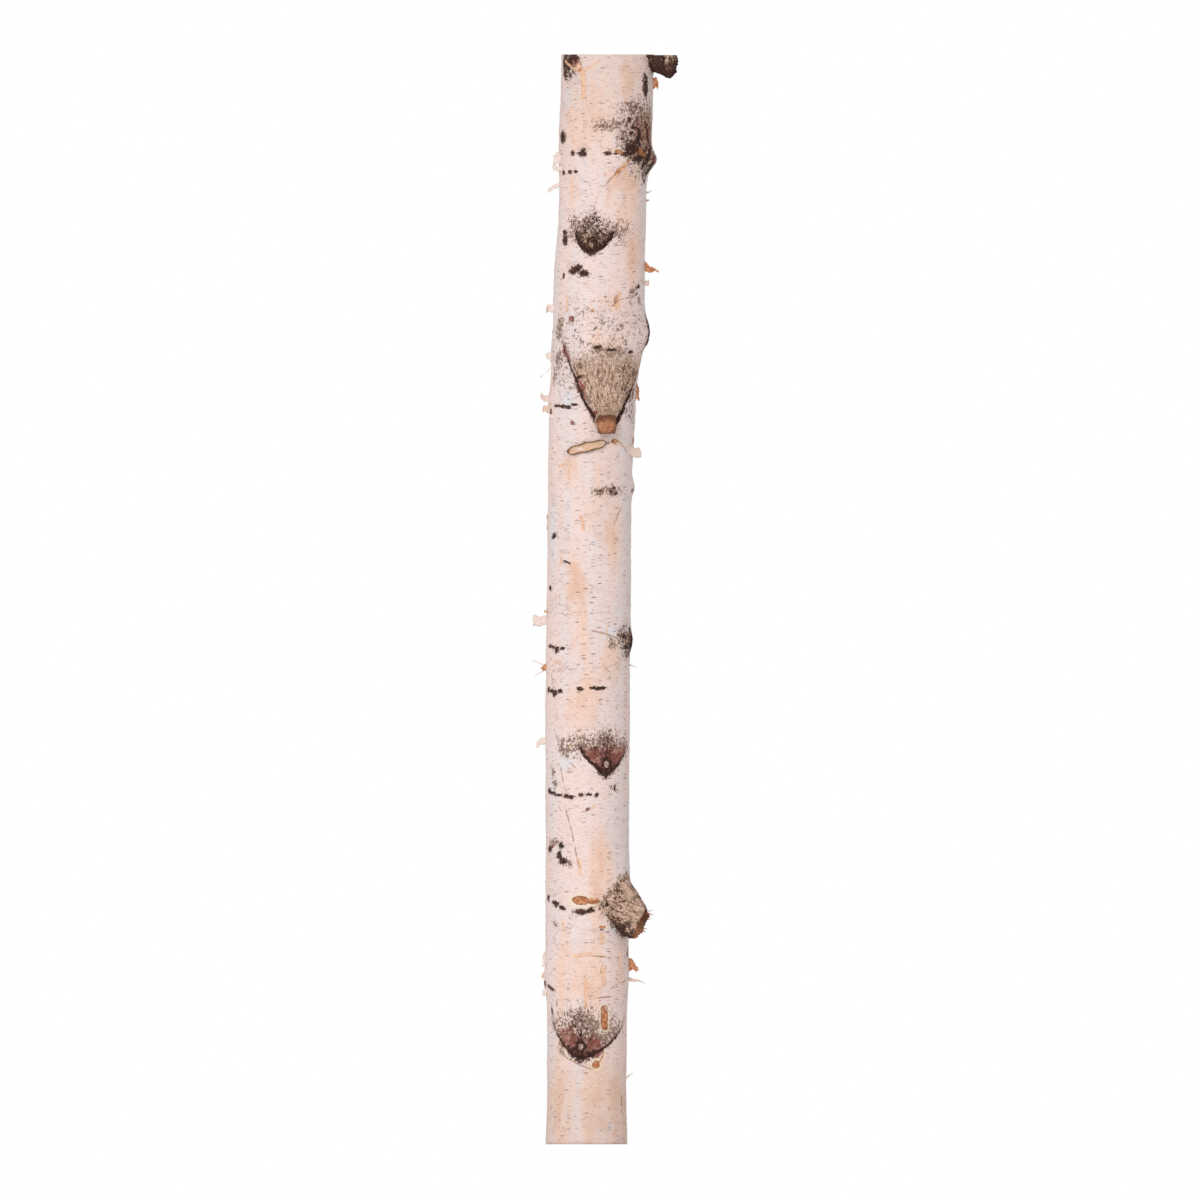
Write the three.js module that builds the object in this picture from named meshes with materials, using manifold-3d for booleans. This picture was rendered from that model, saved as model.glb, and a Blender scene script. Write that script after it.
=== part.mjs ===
// Birch log: one grown length of white-birch trunk, sawn square at both ends.
// Millimetres, +Z up. The origin is the centre of the lower sawn face.
// A turn is an angle about +Z, in degrees, from the front (-Y) towards +X.

import * as THREE from 'three';
import { mergeVertices } from 'three/addons/utils/BufferGeometryUtils.js';
import Module from 'manifold-3d';

const wasm = await Module();
wasm.setup();

// Driving dimensions
const LENGTH = 1000;          // between the two sawn faces
const BUTT_RADIUS = 37.2;     // at the lower sawn face
const TRUNK_SIDES = 40;
const TRUNK_RINGS = 66;
const OVALITY = 0.012;        // how far the section is from round
const OVAL_TURN = 35;         // where the section is widest
const STUB_SIDES = 16;
const STUB_STEPS = 6;
const STUB_FLARE = 1.6;       // how fast a stub widens towards its root

// The trunk's radius, as a share of the butt radius: [height share, radius share].
const TAPER = [
  [0, 1], [0.04, 0.973], [0.11, 0.987], [0.17, 1.03], [0.4, 1.043], [0.6, 1.03],
  [0.68, 1.067], [0.755, 1.13], [0.83, 1.097], [0.87, 1.086], [0.92, 1.148], [1, 1.14],
];

// The centre-line's sideways lean and its slight bow in depth: [height share, mm].
const LEAN = [
  [0, 0], [0.15, 0.3], [0.4, 1.1], [0.6, 3], [0.68, 5.3], [0.72, 8],
  [0.76, 11.6], [0.8, 12.5], [0.87, 15.1], [0.92, 17.4], [1, 19],
];
const BOW = [[0, 0], [0.3, 2.5], [0.6, -1], [0.85, -2.5], [1, -1]];

// Swellings where branches were: height, turn, rise off the trunk, and half sizes.
const SWELLINGS = [
  { height: 91, turn: 0, rise: 2.5, tall: 18, wide: 25 },
  { height: 232, turn: 56, rise: 6, tall: 24, wide: 20 },
  { height: 269, turn: -51, rise: 2, tall: 12, wide: 12 },
  { height: 355, turn: 21, rise: 2.5, tall: 16, wide: 20 },
  { height: 463, turn: 72, rise: 3.5, tall: 12, wide: 12 },
  { height: 604, turn: 86, rise: 3, tall: 10, wide: 9 },
  { height: 705, turn: 17, rise: 5, tall: 40, wide: 30 },
  { height: 744, turn: 78, rise: 4, tall: 15, wide: 16 },
  { height: 832, turn: -12, rise: 2, tall: 14, wide: 22 },
  { height: 903, turn: 80, rise: 6.5, tall: 11, wide: 14 },
  { height: 907, turn: 41, rise: 2.5, tall: 16, wide: 16 },
  { height: 992, turn: -53, rise: 3, tall: 16, wide: 14 },
  { height: 130, turn: 168, rise: 3, tall: 20, wide: 22 },
  { height: 318, turn: -142, rise: 3, tall: 17, wide: 20 },
  { height: 428, turn: 152, rise: 5, tall: 30, wide: 24 },
  { height: 560, turn: -128, rise: 2.5, tall: 14, wide: 16 },
  { height: 668, turn: 176, rise: 3, tall: 17, wide: 22 },
  { height: 790, turn: -138, rise: 5, tall: 28, wide: 24 },
  { height: 930, turn: 148, rise: 3, tall: 16, wide: 18 },
];

// Branch stubs, joined to the trunk: the height, turn and reach of the tip's centre, the
// slope down from level in degrees, and the radius at the tip and on the centre-line.
const STUBS = [
  { name: 'broken stub', height: 203, turn: 57, reach: 57, slope: 40, tip: 14.5, root: 33 },
  { name: 'twig stub', height: 661, turn: 15, reach: 51, slope: 18, tip: 9, root: 15 },
  { name: 'top stub', height: 999, turn: 86, reach: 61, slope: 2, tip: 18, root: 26 },
  { name: 'rear stub', height: 406, turn: 152, reach: 53, slope: 32, tip: 10, root: 24 },
  { name: 'rear twig stub', height: 768, turn: -138, reach: 52, slope: 28, tip: 8, root: 20 },
];

// Reads a list of [height share, value] pairs smoothly at one height.
function profile(pairs, height) {
  const share = THREE.MathUtils.clamp(height / LENGTH, 0, 1);
  const last = pairs.length - 1;
  let i = 0;
  while (i < last - 1 && share > pairs[i + 1][0]) i += 1;
  const t = (share - pairs[i][0]) / (pairs[i + 1][0] - pairs[i][0]);
  return THREE.MathUtils.lerp(pairs[i][1], pairs[i + 1][1], THREE.MathUtils.smoothstep(t, 0, 1));
}

// The way out of the trunk at a turn.
function outward(turn) {
  const angle = THREE.MathUtils.degToRad(turn);
  return new THREE.Vector3(Math.sin(angle), -Math.cos(angle), 0);
}

function centreLine(height) {
  return new THREE.Vector3(profile(LEAN, height), profile(BOW, height), height);
}

// The trunk's radius at a height and a turn, with its swellings.
function trunkRadius(height, turn) {
  const round = BUTT_RADIUS * profile(TAPER, height);
  const oval = Math.cos(2 * THREE.MathUtils.degToRad(turn - OVAL_TURN));
  let radius = round * (1 + OVALITY * oval);
  for (const swelling of SWELLINGS) {
    const aside = THREE.MathUtils.euclideanModulo(turn - swelling.turn + 180, 360) - 180;
    const across = THREE.MathUtils.degToRad(aside) * round / swelling.wide;
    const along = (height - swelling.height) / swelling.tall;
    radius += swelling.rise * Math.exp(-across * across - along * along);
  }
  return radius;
}

// Turns a closed three.js geometry into a solid that can be joined and cut.
function toSolid(geometry) {
  const bare = geometry.clone();
  bare.deleteAttribute('normal');
  bare.deleteAttribute('uv');
  const merged = mergeVertices(bare);
  return new wasm.Manifold(new wasm.Mesh({
    numProp: 3,
    vertProperties: new Float32Array(merged.attributes.position.array),
    triVerts: new Uint32Array(merged.index.array),
  }));
}

function toGeometry(solid) {
  const mesh = solid.getMesh();
  const geometry = new THREE.BufferGeometry();
  geometry.setAttribute('position', new THREE.BufferAttribute(mesh.vertProperties, 3));
  geometry.setIndex(new THREE.BufferAttribute(mesh.triVerts, 1));
  geometry.computeVertexNormals();
  return geometry;
}

// A unit cylinder bent and swollen to the trunk's shape, with flat sawn ends.
function trunkSolid() {
  const geometry = new THREE.CylinderGeometry(1, 1, LENGTH, TRUNK_SIDES, TRUNK_RINGS);
  geometry.rotateX(Math.PI / 2);
  geometry.translate(0, 0, LENGTH / 2);
  const points = geometry.attributes.position;
  const point = new THREE.Vector3();
  for (let i = 0; i < points.count; i += 1) {
    point.fromBufferAttribute(points, i);
    const turn = THREE.MathUtils.radToDeg(Math.atan2(point.x, -point.y));
    const reach = Math.hypot(point.x, point.y) * trunkRadius(point.z, turn);
    const centre = centreLine(point.z);
    centre.addScaledVector(outward(turn), reach);
    points.setXYZ(i, centre.x, centre.y, point.z);
  }
  return toSolid(geometry);
}

// A branch stub, flaring from its flat tip to its root on the trunk's centre-line.
function stubSolid(stub) {
  const slope = THREE.MathUtils.degToRad(stub.slope);
  const run = stub.reach / Math.cos(slope);
  const outline = [new THREE.Vector2(0, 0)];
  for (let i = 0; i <= STUB_STEPS; i += 1) {
    const share = i / STUB_STEPS;
    const flare = (stub.root - stub.tip) * (1 - share) ** STUB_FLARE;
    outline.push(new THREE.Vector2(stub.tip + flare, share * run));
  }
  outline.push(new THREE.Vector2(0, run));
  const geometry = new THREE.LatheGeometry(outline, STUB_SIDES);

  const way = outward(stub.turn).multiplyScalar(Math.cos(slope));
  way.z = -Math.sin(slope);
  const upright = new THREE.Vector3(0, 1, 0);
  geometry.applyQuaternion(new THREE.Quaternion().setFromUnitVectors(upright, way));
  const root = centreLine(stub.height).addScaledVector(outward(stub.turn), stub.reach);
  root.addScaledVector(way, -run);
  geometry.translate(root.x, root.y, root.z);
  return toSolid(geometry);
}

// Everything that lies between the two saw cuts.
function sawnLength() {
  const width = 4 * LENGTH;
  const geometry = new THREE.BoxGeometry(width, width, LENGTH);
  geometry.translate(0, 0, LENGTH / 2);
  return toSolid(geometry);
}

function birchLog() {
  let solid = trunkSolid();
  for (const stub of STUBS) {
    solid = solid.add(stubSolid(stub));
  }
  solid = solid.intersect(sawnLength());
  const material = new THREE.MeshStandardMaterial({ color: 0xe6d3cb, roughness: 0.72, metalness: 0 });
  const mesh = new THREE.Mesh(toGeometry(solid), material);
  mesh.name = 'birch_log';
  return mesh;
}

const log = new THREE.Group();
log.add(birchLog());

export default log;
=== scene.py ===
import math
import random

import bpy
import numpy as np
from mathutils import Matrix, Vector, noise


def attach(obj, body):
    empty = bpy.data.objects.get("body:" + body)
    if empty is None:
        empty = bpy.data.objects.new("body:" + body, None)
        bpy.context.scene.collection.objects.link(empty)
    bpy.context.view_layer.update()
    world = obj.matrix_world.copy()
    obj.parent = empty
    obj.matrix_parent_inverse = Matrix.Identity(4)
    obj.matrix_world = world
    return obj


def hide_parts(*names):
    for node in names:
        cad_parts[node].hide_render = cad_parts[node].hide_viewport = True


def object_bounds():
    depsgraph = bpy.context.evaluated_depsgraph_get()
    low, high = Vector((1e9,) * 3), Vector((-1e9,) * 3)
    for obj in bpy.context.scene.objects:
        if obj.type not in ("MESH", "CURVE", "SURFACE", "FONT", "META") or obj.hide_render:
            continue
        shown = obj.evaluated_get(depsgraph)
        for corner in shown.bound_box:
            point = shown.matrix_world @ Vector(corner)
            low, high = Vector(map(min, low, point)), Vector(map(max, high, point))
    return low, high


# A white-birch log standing on its sawn foot. Lengths below are in mm and turns in degrees
# about +Z, from the front (-Y) towards +X; meshes are made in metres at the last step.

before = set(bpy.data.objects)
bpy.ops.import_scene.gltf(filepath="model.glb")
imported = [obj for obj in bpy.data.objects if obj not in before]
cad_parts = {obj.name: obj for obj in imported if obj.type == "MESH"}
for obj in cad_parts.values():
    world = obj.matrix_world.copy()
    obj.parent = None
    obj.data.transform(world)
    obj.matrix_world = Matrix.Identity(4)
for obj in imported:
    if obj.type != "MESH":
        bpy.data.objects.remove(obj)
LOW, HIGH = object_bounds()
MM = 0.001
LENGTH = (HIGH.z - LOW.z) / MM
BUTT_RADIUS = 37.2
OVALITY = 0.012
OVAL_TURN = 35

# The same trunk lines as the frame's, as (height share, value) pairs.
TAPER = [
    (0, 1), (0.04, 0.973), (0.11, 0.987), (0.17, 1.03), (0.4, 1.043), (0.6, 1.03),
    (0.68, 1.067), (0.755, 1.13), (0.83, 1.097), (0.87, 1.086), (0.92, 1.148), (1, 1.14),
]
LEAN = [
    (0, 0), (0.15, 0.3), (0.4, 1.1), (0.6, 3), (0.68, 5.3), (0.72, 8),
    (0.76, 11.6), (0.8, 12.5), (0.87, 15.1), (0.92, 17.4), (1, 19),
]
BOW = [(0, 0), (0.3, 2.5), (0.6, -1), (0.85, -2.5), (1, -1)]

# Swellings: height, turn, rise, tall, wide.
SWELLINGS = [
    (91, 0, 2.0, 18, 25), (232, 56, 4.0, 26, 22), (269, -51, 2.0, 12, 12),
    (355, 21, 2.0, 16, 20), (463, 74, 3.0, 11, 11), (604, 86, 2.6, 8, 9),
    (744, 80, 4.0, 14, 16), (832, -12, 1.6, 14, 22), (903, 80, 6.5, 9, 13),
    (909, 41, 3, 16, 16), (992, -53, 2.5, 14, 14), (130, 168, 3, 20, 22),
    (318, -142, 3, 17, 20), (428, 152, 5, 30, 24), (560, -128, 2.5, 14, 16),
    (668, 176, 3, 17, 22), (790, -138, 5, 28, 24), (930, 148, 3, 16, 18),
    (150, -88, 1.8, 12, 14), (683, -86, 1.5, 7, 10),
]

COLUMNS = 244         # points round the trunk
PLAIN_STEP = 3.3      # between rows of points where the bark is plain, and where it has marks
FINE_STEP = 1.5
CAP_RINGS = 12        # rings of points on a sawn end of the trunk
SAWN_STEP = 0.6       # how far below the top cut a stub is cut off
STUB_SIDES = 72       # points round a stub, rings along its wall, and rings on its end
WALL_RINGS = 30
END_RINGS = 9
CRUSTED_GLOOM = 0.5   # a stub darker than this has bark over its end as well
BLANK = -1.0          # a paint layer away from its marks
FAR = 9.0             # mm, for a distance that is too long to matter
LAYERS = ("dark", "grey", "rust", "amber", "honey", "rough", "pale", "peach", "near")


def profile(pairs, height):
    """Reads (height share, value) pairs smoothly at heights in mm."""
    share = np.clip(np.asarray(height, float) / LENGTH, 0, 1)
    places, values = np.array(pairs, float).T
    i = np.clip(np.searchsorted(places, share, side="right") - 1, 0, len(places) - 2)
    t = (share - places[i]) / (places[i + 1] - places[i])
    return values[i] + (values[i + 1] - values[i]) * t * t * (3 - 2 * t)


def ease(value, low, high):
    """0 below low, 1 above high, smooth between."""
    t = np.clip((value - low) / (high - low), 0, 1)
    return t * t * (3 - 2 * t)


def beside(turn, other, radius):
    """How far, in mm around the trunk, a turn lies past another."""
    return np.radians((turn - other + 180) % 360 - 180) * radius


def bark_radius(height, turn):
    """The trunk's radius under the fine relief."""
    mean = BUTT_RADIUS * profile(TAPER, height)
    radius = mean * (1 + OVALITY * np.cos(2 * np.radians(turn - OVAL_TURN)))
    for at, way, rise, tall, wide in SWELLINGS:
        across = beside(turn, way, mean) / wide
        along = (height - at) / tall
        radius = radius + rise * np.exp(-across ** 2 - along ** 2)
    return radius


def outward(turn):
    """The level direction away from the centre-line at a turn."""
    angle = np.radians(turn)
    return np.stack([np.sin(angle), -np.cos(angle), 0 * angle], axis=-1)


def tangent(turn):
    """The level direction round the trunk at a turn."""
    angle = np.radians(turn)
    return np.stack([np.cos(angle), np.sin(angle), 0 * angle], axis=-1)


def on_log(height, turn, reach):
    """The point at a height, a turn and a reach from the centre-line."""
    given = (np.asarray(value, float) for value in (height, turn, reach))
    height, turn, reach = np.broadcast_arrays(*given)
    centre = np.stack([profile(LEAN, height), profile(BOW, height), height], axis=-1)
    return centre + outward(turn) * reach[..., None]


def rumple(points, size, octaves=3, seed=0.0):
    """Smooth noise about -1 to 1, with bumps of the given size in mm along each axis."""
    flat = points.reshape(-1, 3) / np.asarray(size, float)
    shift = Vector((seed, 1.7 * seed, -seed))
    values = [noise.fractal(Vector(p) + shift, 1.0, 2.0, octaves) for p in flat]
    return np.array(values).reshape(points.shape[:-1])


def smooth_line(points, steps=4):
    """Points along a smooth curve through the given (height, turn) points."""
    p = np.array([points[0]] + list(points) + [points[-1]], float)
    line = [p[1]]
    for a, b, c, d in zip(p, p[1:], p[2:], p[3:]):
        for t in np.arange(1, steps + 1) / steps:
            line.append(0.5 * (2 * b + (c - a) * t + (2 * a - 5 * b + 4 * c - d) * t ** 2
                               + (3 * b - a - 3 * c + d) * t ** 3))
    return line


# ---------------------------------------------------------------- the bark's marks

# Marks are (height, turn, half height, half width) and, where one leans, its tilt up to the
# right.

# Dark bars and scars.
DARK_MARKS = [
    # at the top saw cut, and the long spindle scar beside the top stub
    (992, -58, 9, 9), (983, -62, 6, 5), (997, -46, 4, 8), (971, 55, 12, 4.2, 4),
    # the knot under the top stub, with its round lip
    (914, 33, 8, 8, -30), (910, 28, 4, 6), (920, 42, 9, 3.4, -20), (905, 42, 4, 11, 2),
    (905, 60, 13, 3.4, -30), (940, 30, 2.6, 2.8), (933, 35, 1.6, 2.2),
    (928, 33, 1.8, 3), (930, 44, 4, 2, 30), (927, 62, 8, 2.2, 8), (914, 68, 3, 5),
    (893, 70, 6, 3.4, -20), (884, 66, 4, 2.4, -20),
    # rows of lenticels on the upper trunk
    (924, -68, 5.5, 6, 20), (909.5, -44, 2.4, 3.2), (909.5, -28.5, 3.8, 4.4),
    (909.5, 3, 1.8, 4.6, 5), (909, 12, 1, 3), (891.5, -64, 2.5, 3),
    (892, -50, 2, 3), (892.6, -38.5, 1.5, 2.6), (837, -56, 3, 3.4),
    (829.5, -54.5, 4.8, 4.2), (802, -35, 3.4, 7, 12), (804, -29, 3, 4), (799, -21, 3.2, 5.4, -10),
    (796.5, -55, 2.6, 1.8), (787, 58.5, 2.4, 2.8, 20), (780, 53, 1.3, 3, 30),
    # round the large collar
    (749, 79, 15, 4), (734, 80, 7, 6), (731.5, 2, 2, 4), (729, 18, 1.2, 5),
    (727, 44, 2, 3), (704, -18, 1.4, 4.6, 14), (677.5, -56, 1.6, 5), (677, -44, 1.8, 4.6),
    (676.5, -34, 1.8, 4), (678.5, -23, 1.3, 4.5, -8), (672, -74, 3, 3),
    # mid trunk
    (600, 86, 5, 3.4), (599, 29, 1.8, 2), (597, 37, 1.7, 2.2), (602, 34, 1.4, 1.8),
    (599.5, 15, 1.2, 1.8), (558.5, -58, 2.4, 4.4, 25), (510.5, -67, 2, 2.8),
    (535, -36, 1, 2.4), (533.5, -30, 0.9, 3.6, -10),
    (460, 75, 9.5, 7), (471, 70, 5, 2, 10), (466, 56, 2.4, 2.4, 10), (456, 60, 2, 3),
    (457, -66, 1.8, 4), (454, -49.5, 3, 3.8), (456, -57, 1.4, 4),
    (455, -39, 1.8, 3.4), (417, -68, 2.8, 3.4), (414, -52, 3.6, 4),
    (416, -60, 1.8, 5), (416, -41, 1.9, 4), (418, -11, 1.8, 3.6, -6),
    (418.5, 9, 1.7, 4.6), (418.5, 18, 1.8, 5.4, 4), (324, -66, 2.6, 3.6, -10),
    (322, -55, 1.9, 5.4, -6), (320.6, -43, 1.5, 5, -4), (319.5, -30, 1.9, 4),
    (318.5, -23, 2, 3.6), (320.5, -8, 1.7, 3.2), (321, 2, 1.2, 4),
    (320.5, 12, 2, 2.6, 20), (327, 40, 3, 1.2),
    # the left knot and the bars beside the broken stub
    (271, -60, 3.4, 4.6), (274, -37, 3, 3), (265.5, -41, 3.8, 2.8, -20),
    (260, -35.5, 3.4, 4), (226, -68, 3, 4, -25), (220.8, -49, 2.6, 5.6, -20),
    (217, -37, 2, 4.4, -20), (213.2, -10, 2.6, 6.4, -6), (214.2, 4, 2.6, 4.4, 10),
    (143.5, -62, 1.8, 7, -22), (147, -80, 3, 3), (123, -60, 5, 1.3, 4),
    # the hidden side
    (880, 120, 2.2, 8), (881, 137, 1.8, 6), (700, 120, 2, 9), (701, 138, 2.4, 5),
    (612, -165, 2, 12), (613, -140, 2.4, 6), (505, 118, 1.8, 7), (506, 134, 2.2, 5),
    (372, -150, 2, 10), (371, -172, 2.4, 5), (262, 160, 2.2, 9), (263, 140, 1.8, 5),
    (190, -120, 2, 8), (189, -138, 2.4, 4), (60, 130, 2, 9), (61, 150, 2.2, 4),
    (960, -110, 2.2, 7), (858, -125, 2, 9), (745, -100, 2, 6), (470, -160, 2, 8),
]

# Speckled grey crusts, densest at their middle.
GREY_MARKS = [
    (940, 45, 18, 22), (934, 62, 22, 14), (935, -2, 7, 14), (936, 16, 10, 14),
    (924, 26, 14, 12), (950, 36, 9, 20), (924, -66, 7, 8), (783, 47, 5, 7, 30), (775, 60, 6, 4),
    (840, -33, 15, 17), (837, 12, 13, 25), (845, -22, 9, 11), (366, -8, 12, 26),
    (366, 54, 15, 15), (368, 24, 12, 30), (803, -34, 6, 9), (747, -58, 18, 10), (720, -56, 12, 9),
    (706, -66, 12, 6),
    (600, 32, 7, 14), (599, 14, 5, 8),
    (558, -55, 4, 6), (510, -66, 5, 5), (466, 50, 8, 8), (460, 36, 6, 7),
    (450, 66, 5, 7), (462, 62, 10, 8), (362, -36, 7, 13, -35),
    (331, -52, 6, 6), (341, -56, 5, 4), (328, 37, 5, 7), (277, -53, 5, 11),
    (258, -27, 4, 6, -30), (222, 27, 8, 6, 20), (204, 36, 7, 4), (202, -50, 4, 4),
    (107, -6, 9, 12), (100, 34, 5, 14, 24), (92, -38, 8, 4), (86, -40, 4, 6, -40),
    (727, 18, 7, 30), (706, 44, 14, 10), (712, -16, 12, 7),
    (930, 148, 14, 20), (560, -128, 12, 16), (668, 176, 16, 22),
    (130, 168, 16, 22), (318, -142, 14, 20),
]

# Patches of old, fibrous bark.
ROUGH_MARKS = [
    (918, 56, 30, 20), (906, 62, 16, 18), (934, 62, 20, 14), (911, 38, 10, 14),
    (462, 66, 10, 10),
]

# Red-brown scars and stains.
RUST_MARKS = [
    (993, -44, 6, 8), (911, 44, 7, 5), (903, 73, 8, 4), (890, 60, 6, 3),
    (96, -25, 14, 12, 20), (91, 8, 12, 10, -20),
    (757, -36, 3.4, 5), (661.8, -27, 3, 3.2, -30), (600, 78, 2.5, 3),
    (690, 66, 7, 3), (307.7, 2, 1.8, 3.6, 20), (172.2, 20, 1.1, 4.2, -4),
    (273, -54, 2.4, 4), (197.5, 21, 1.3, 3.8), (176, 74, 6, 4),
    (964, 88, 5, 3), (84, 15, 5, 7, 20),
]

# Orange inner bark laid open where the white skin has torn away.
AMBER_MARKS = [
    (223.6, -9, 4.4, 9, -2), (222.6, 8, 2.4, 7), (910.5, 17, 2.1, 5.2, -6),
    (73, 13.6, 4, 3.6), (911, 45, 4.4, 2.8, 20), (908, 52, 2, 4), (645, 33, 2, 4),
    (645.5, 80, 4, 5), (168, 86, 7, 3),
    (840, 120, 3, 7), (480, 150, 9, 2.5), (350, 170, 3, 8), (90, -140, 8, 2.4),
]

# Torn streaks and slots of open inner bark: their width, then a line of (height, turn) points.
AMBER_STROKES = [
    (7.2, [(124, 26), (118, 26.4), (112, 25.8), (108, 26.6)]), (2.2, [(199.5, 18), (198.5, 26)]),
    (1.2, [(173.2, 14), (172.4, 20), (172.2, 26)]), (1.4, [(85, 25), (79, 22), (75, 18)]),
    (1.3, [(133, -48), (127, -50)]), (1.1, [(84, -36), (79, -28), (76, -18)]),
    (1.2, [(368, -22), (364, -29)]), (1.2, [(766, -12), (764, -6), (763, 2)]),
    (1.4, [(896, 20), (889, 14)]), (1.4, [(44, 62), (34, 61)]),
    (2.6, [(300, -160), (284, -156), (276, -158)]), (3.0, [(640, 130), (628, 132)]),
]

# Lighter streaks where only the outermost paper has gone, in the same form.
HONEY_STROKES = [
    (3.4, [(994, -60), (990, -50), (985, -40)]), (6, [(989, -38), (982, -32), (976, -31)]),
    (4.2, [(978, -31), (968, -30), (961, -30)]), (2.6, [(984, -31), (987, -25), (989, -21)]),
    (1.6, [(989, -19), (993, -12), (995, -8)]),
    (3.0, [(902, 28), (896, 22), (888, 15)]), (2.4, [(900, 22), (893, 26), (888, 29)]),
    (1.4, [(911, 38), (903, 32), (896, 24)]), (3.4, [(781, 27), (776, 24), (768, 21)]),
    (1.6, [(768, 22), (764, 14), (763, 6)]), (3.2, [(576, -12), (571, -10), (564, -8)]),
    (4.6, [(192, 21.3), (185, 21.4)]), (5.4, [(162, 24), (148, 24.6)]),
    (1.8, [(624, -26), (618, -30), (612, -30)]), (2.6, [(622, -48), (624, -38)]),
    (2.0, [(538, -42), (530, -45)]), (2.2, [(442, -54), (444, -50), (440, -42)]),
    (3.0, [(262, -12), (255, -10), (248, -9)]), (2.2, [(205, -36), (196, -35)]),
    (1.6, [(478, 28), (474, 26), (466, 26)]),
    (2.6, [(778, -48), (772, -44), (764, -46)]), (2.2, [(645, 36), (641, 46), (640, 52)]),
    (3.4, [(175, 8), (174, -8), (172, -18)]), (2.0, [(308, 6), (311, 10)]),
    (1.4, [(134, 12), (134, 30)]), (3, [(126, -2), (150, -1)]), (1.8, [(71, 4), (66, 16)]),
    (4, [(520, 160), (500, 164)]), (3, [(210, -130), (196, -126)]), (3, [(840, -160), (822, -156)]),
]

# Faint mottling: a layer, then height, turn, half height, half width, tilt and its strength.
FAINT_MARKS = [
    ("dark", 922, 54, 30, 20, 0, -0.2), ("dark", 906, 58, 12, 12, 0, 0.04),
    ("dark", 992, -54, 14, 9, 0, 0.05), ("dark", 840, -14, 13, 9, 0, 0.02),
    ("dark", 690, 50, 24, 8, 20, -0.12), ("dark", 462, 64, 14, 10, 0, -0.05),
    ("rust", 922, 54, 24, 18, 0, 0.3), ("rust", 688, 40, 22, 12, 20, -0.16),
]

# Cleaner, bluish-white skin.
PALE_MARKS = [
    (199.5, 38, 7, 6, 20), (17, 37, 7, 5, 30), (684, -36, 12, 9), (350, -30, 12, 12),
    (960, -60, 16, 10), (560, -62, 50, 9), (470, 30, 10, 10), (330, -54, 10, 5),
]

# Warm peach skin. The mark at 165 mm and 60 degrees, just below the broken stub, is painted shade
# under it.
PEACH_MARKS = [
    (400, 0, 34, 22), (500, -14, 60, 16), (440, 34, 30, 12), (250, 16, 60, 16),
    (30, 0, 50, 60), (160, -6, 40, 28), (580, 20, 60, 20), (870, 30, 36, 20),
    (940, -20, 40, 24), (980, 26, 26, 9), (776, 16, 14, 12), (620, -30, 20, 12),
    (875, -40, 20, 10), (976, 24, 26, 8), (988, 36, 14, 9), (735, 10, 14, 16),
    (812, 44, 34, 9), (165, 60, 30, 9), (170, 0, 22, 9), (420, 175, 70, 22), (700, 150, 60, 24),
    (150, -120, 60, 26),
]

# Hairline cracks and torn edges, each a list of (height, turn) points.
CRACKS = [
    [(907, 36), (894, 20), (873, -2.5), (852, -11)],
    [(894, 20), (899, 31), (900, 44)],
    [(766, -13), (763.5, 2), (767, 13), (774, 24), (777, 40)],
    [(585, 48.5), (577, 42), (569, 36)],
    [(131, -5.5), (134, 14), (135.5, 35)],
    [(345, -16), (354, -30), (368, -44), (380, -52)],
    [(345, -40), (332, -36), (322, -31)],
    [(310, -33), (292, -24), (272, -17), (255, -12)],
    [(89, -48), (80, -32), (75, -17), (70, 0), (69, 9)],
    [(172, -14), (172.6, 4), (172.2, 20), (171, 34)],
    [(706, -26), (705, -18)],
    [(438, 8), (437, 24), (443, 48), (452, 62)],
    [(471, 6), (468, 26), (464, 44)],
    [(150, 66), (146, 48), (143, 36)],
    [(634, 58), (645, 40), (643.5, 22)],
    [(45, 60), (40, 62), (30, 60)],
    [(540, 140), (530, 152), (524, 170)],
    [(820, 150), (806, 160), (800, 176)],
    [(240, -150), (226, -140), (220, -122)],
]

# Branch scars like eyes: a V that closes at the bottom, with arms to each side.
EYES = [
    dict(height=819, turn=-12, left=20, right=22, rise=19, power=2.1, bed=1.0, fill=True, lip=1.0),
    dict(height=339, turn=25, left=26, right=28, rise=26, dark=2.4, bed=1.1, lip=1.6),
    dict(height=78, turn=-8, left=32, right=46, rise=31, dark=1.8, bed=0.5, lip=1.6),
    dict(height=118, turn=168, left=26, right=28, rise=24, bed=0.9, lip=1.4),
    dict(height=306, turn=-142, left=24, right=26, rise=22, dark=4, bed=0.6, fill=True, lip=1.2),
    dict(height=656, turn=176, left=28, right=27, rise=26, bed=1.0, lip=1.6),
    dict(height=550, turn=-128, left=18, right=20, rise=16, bed=0.7, fill=True, lip=1.0),
    dict(height=920, turn=148, left=22, right=24, rise=18, bed=0.9, lip=1.2),
]

# Large branch collars: swollen, fibrous, and hanging over a deep crease.
COLLARS = [
    dict(height=662, turn=20, reach=51, rise=74, flat=9, bulge=5.5, crust=54),
    dict(height=404, turn=152, reach=36, rise=52, flat=9, bulge=4.0, crust=30),
    dict(height=766, turn=-138, reach=27, rise=48, flat=7, bulge=3.5, crust=28),
]


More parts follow.
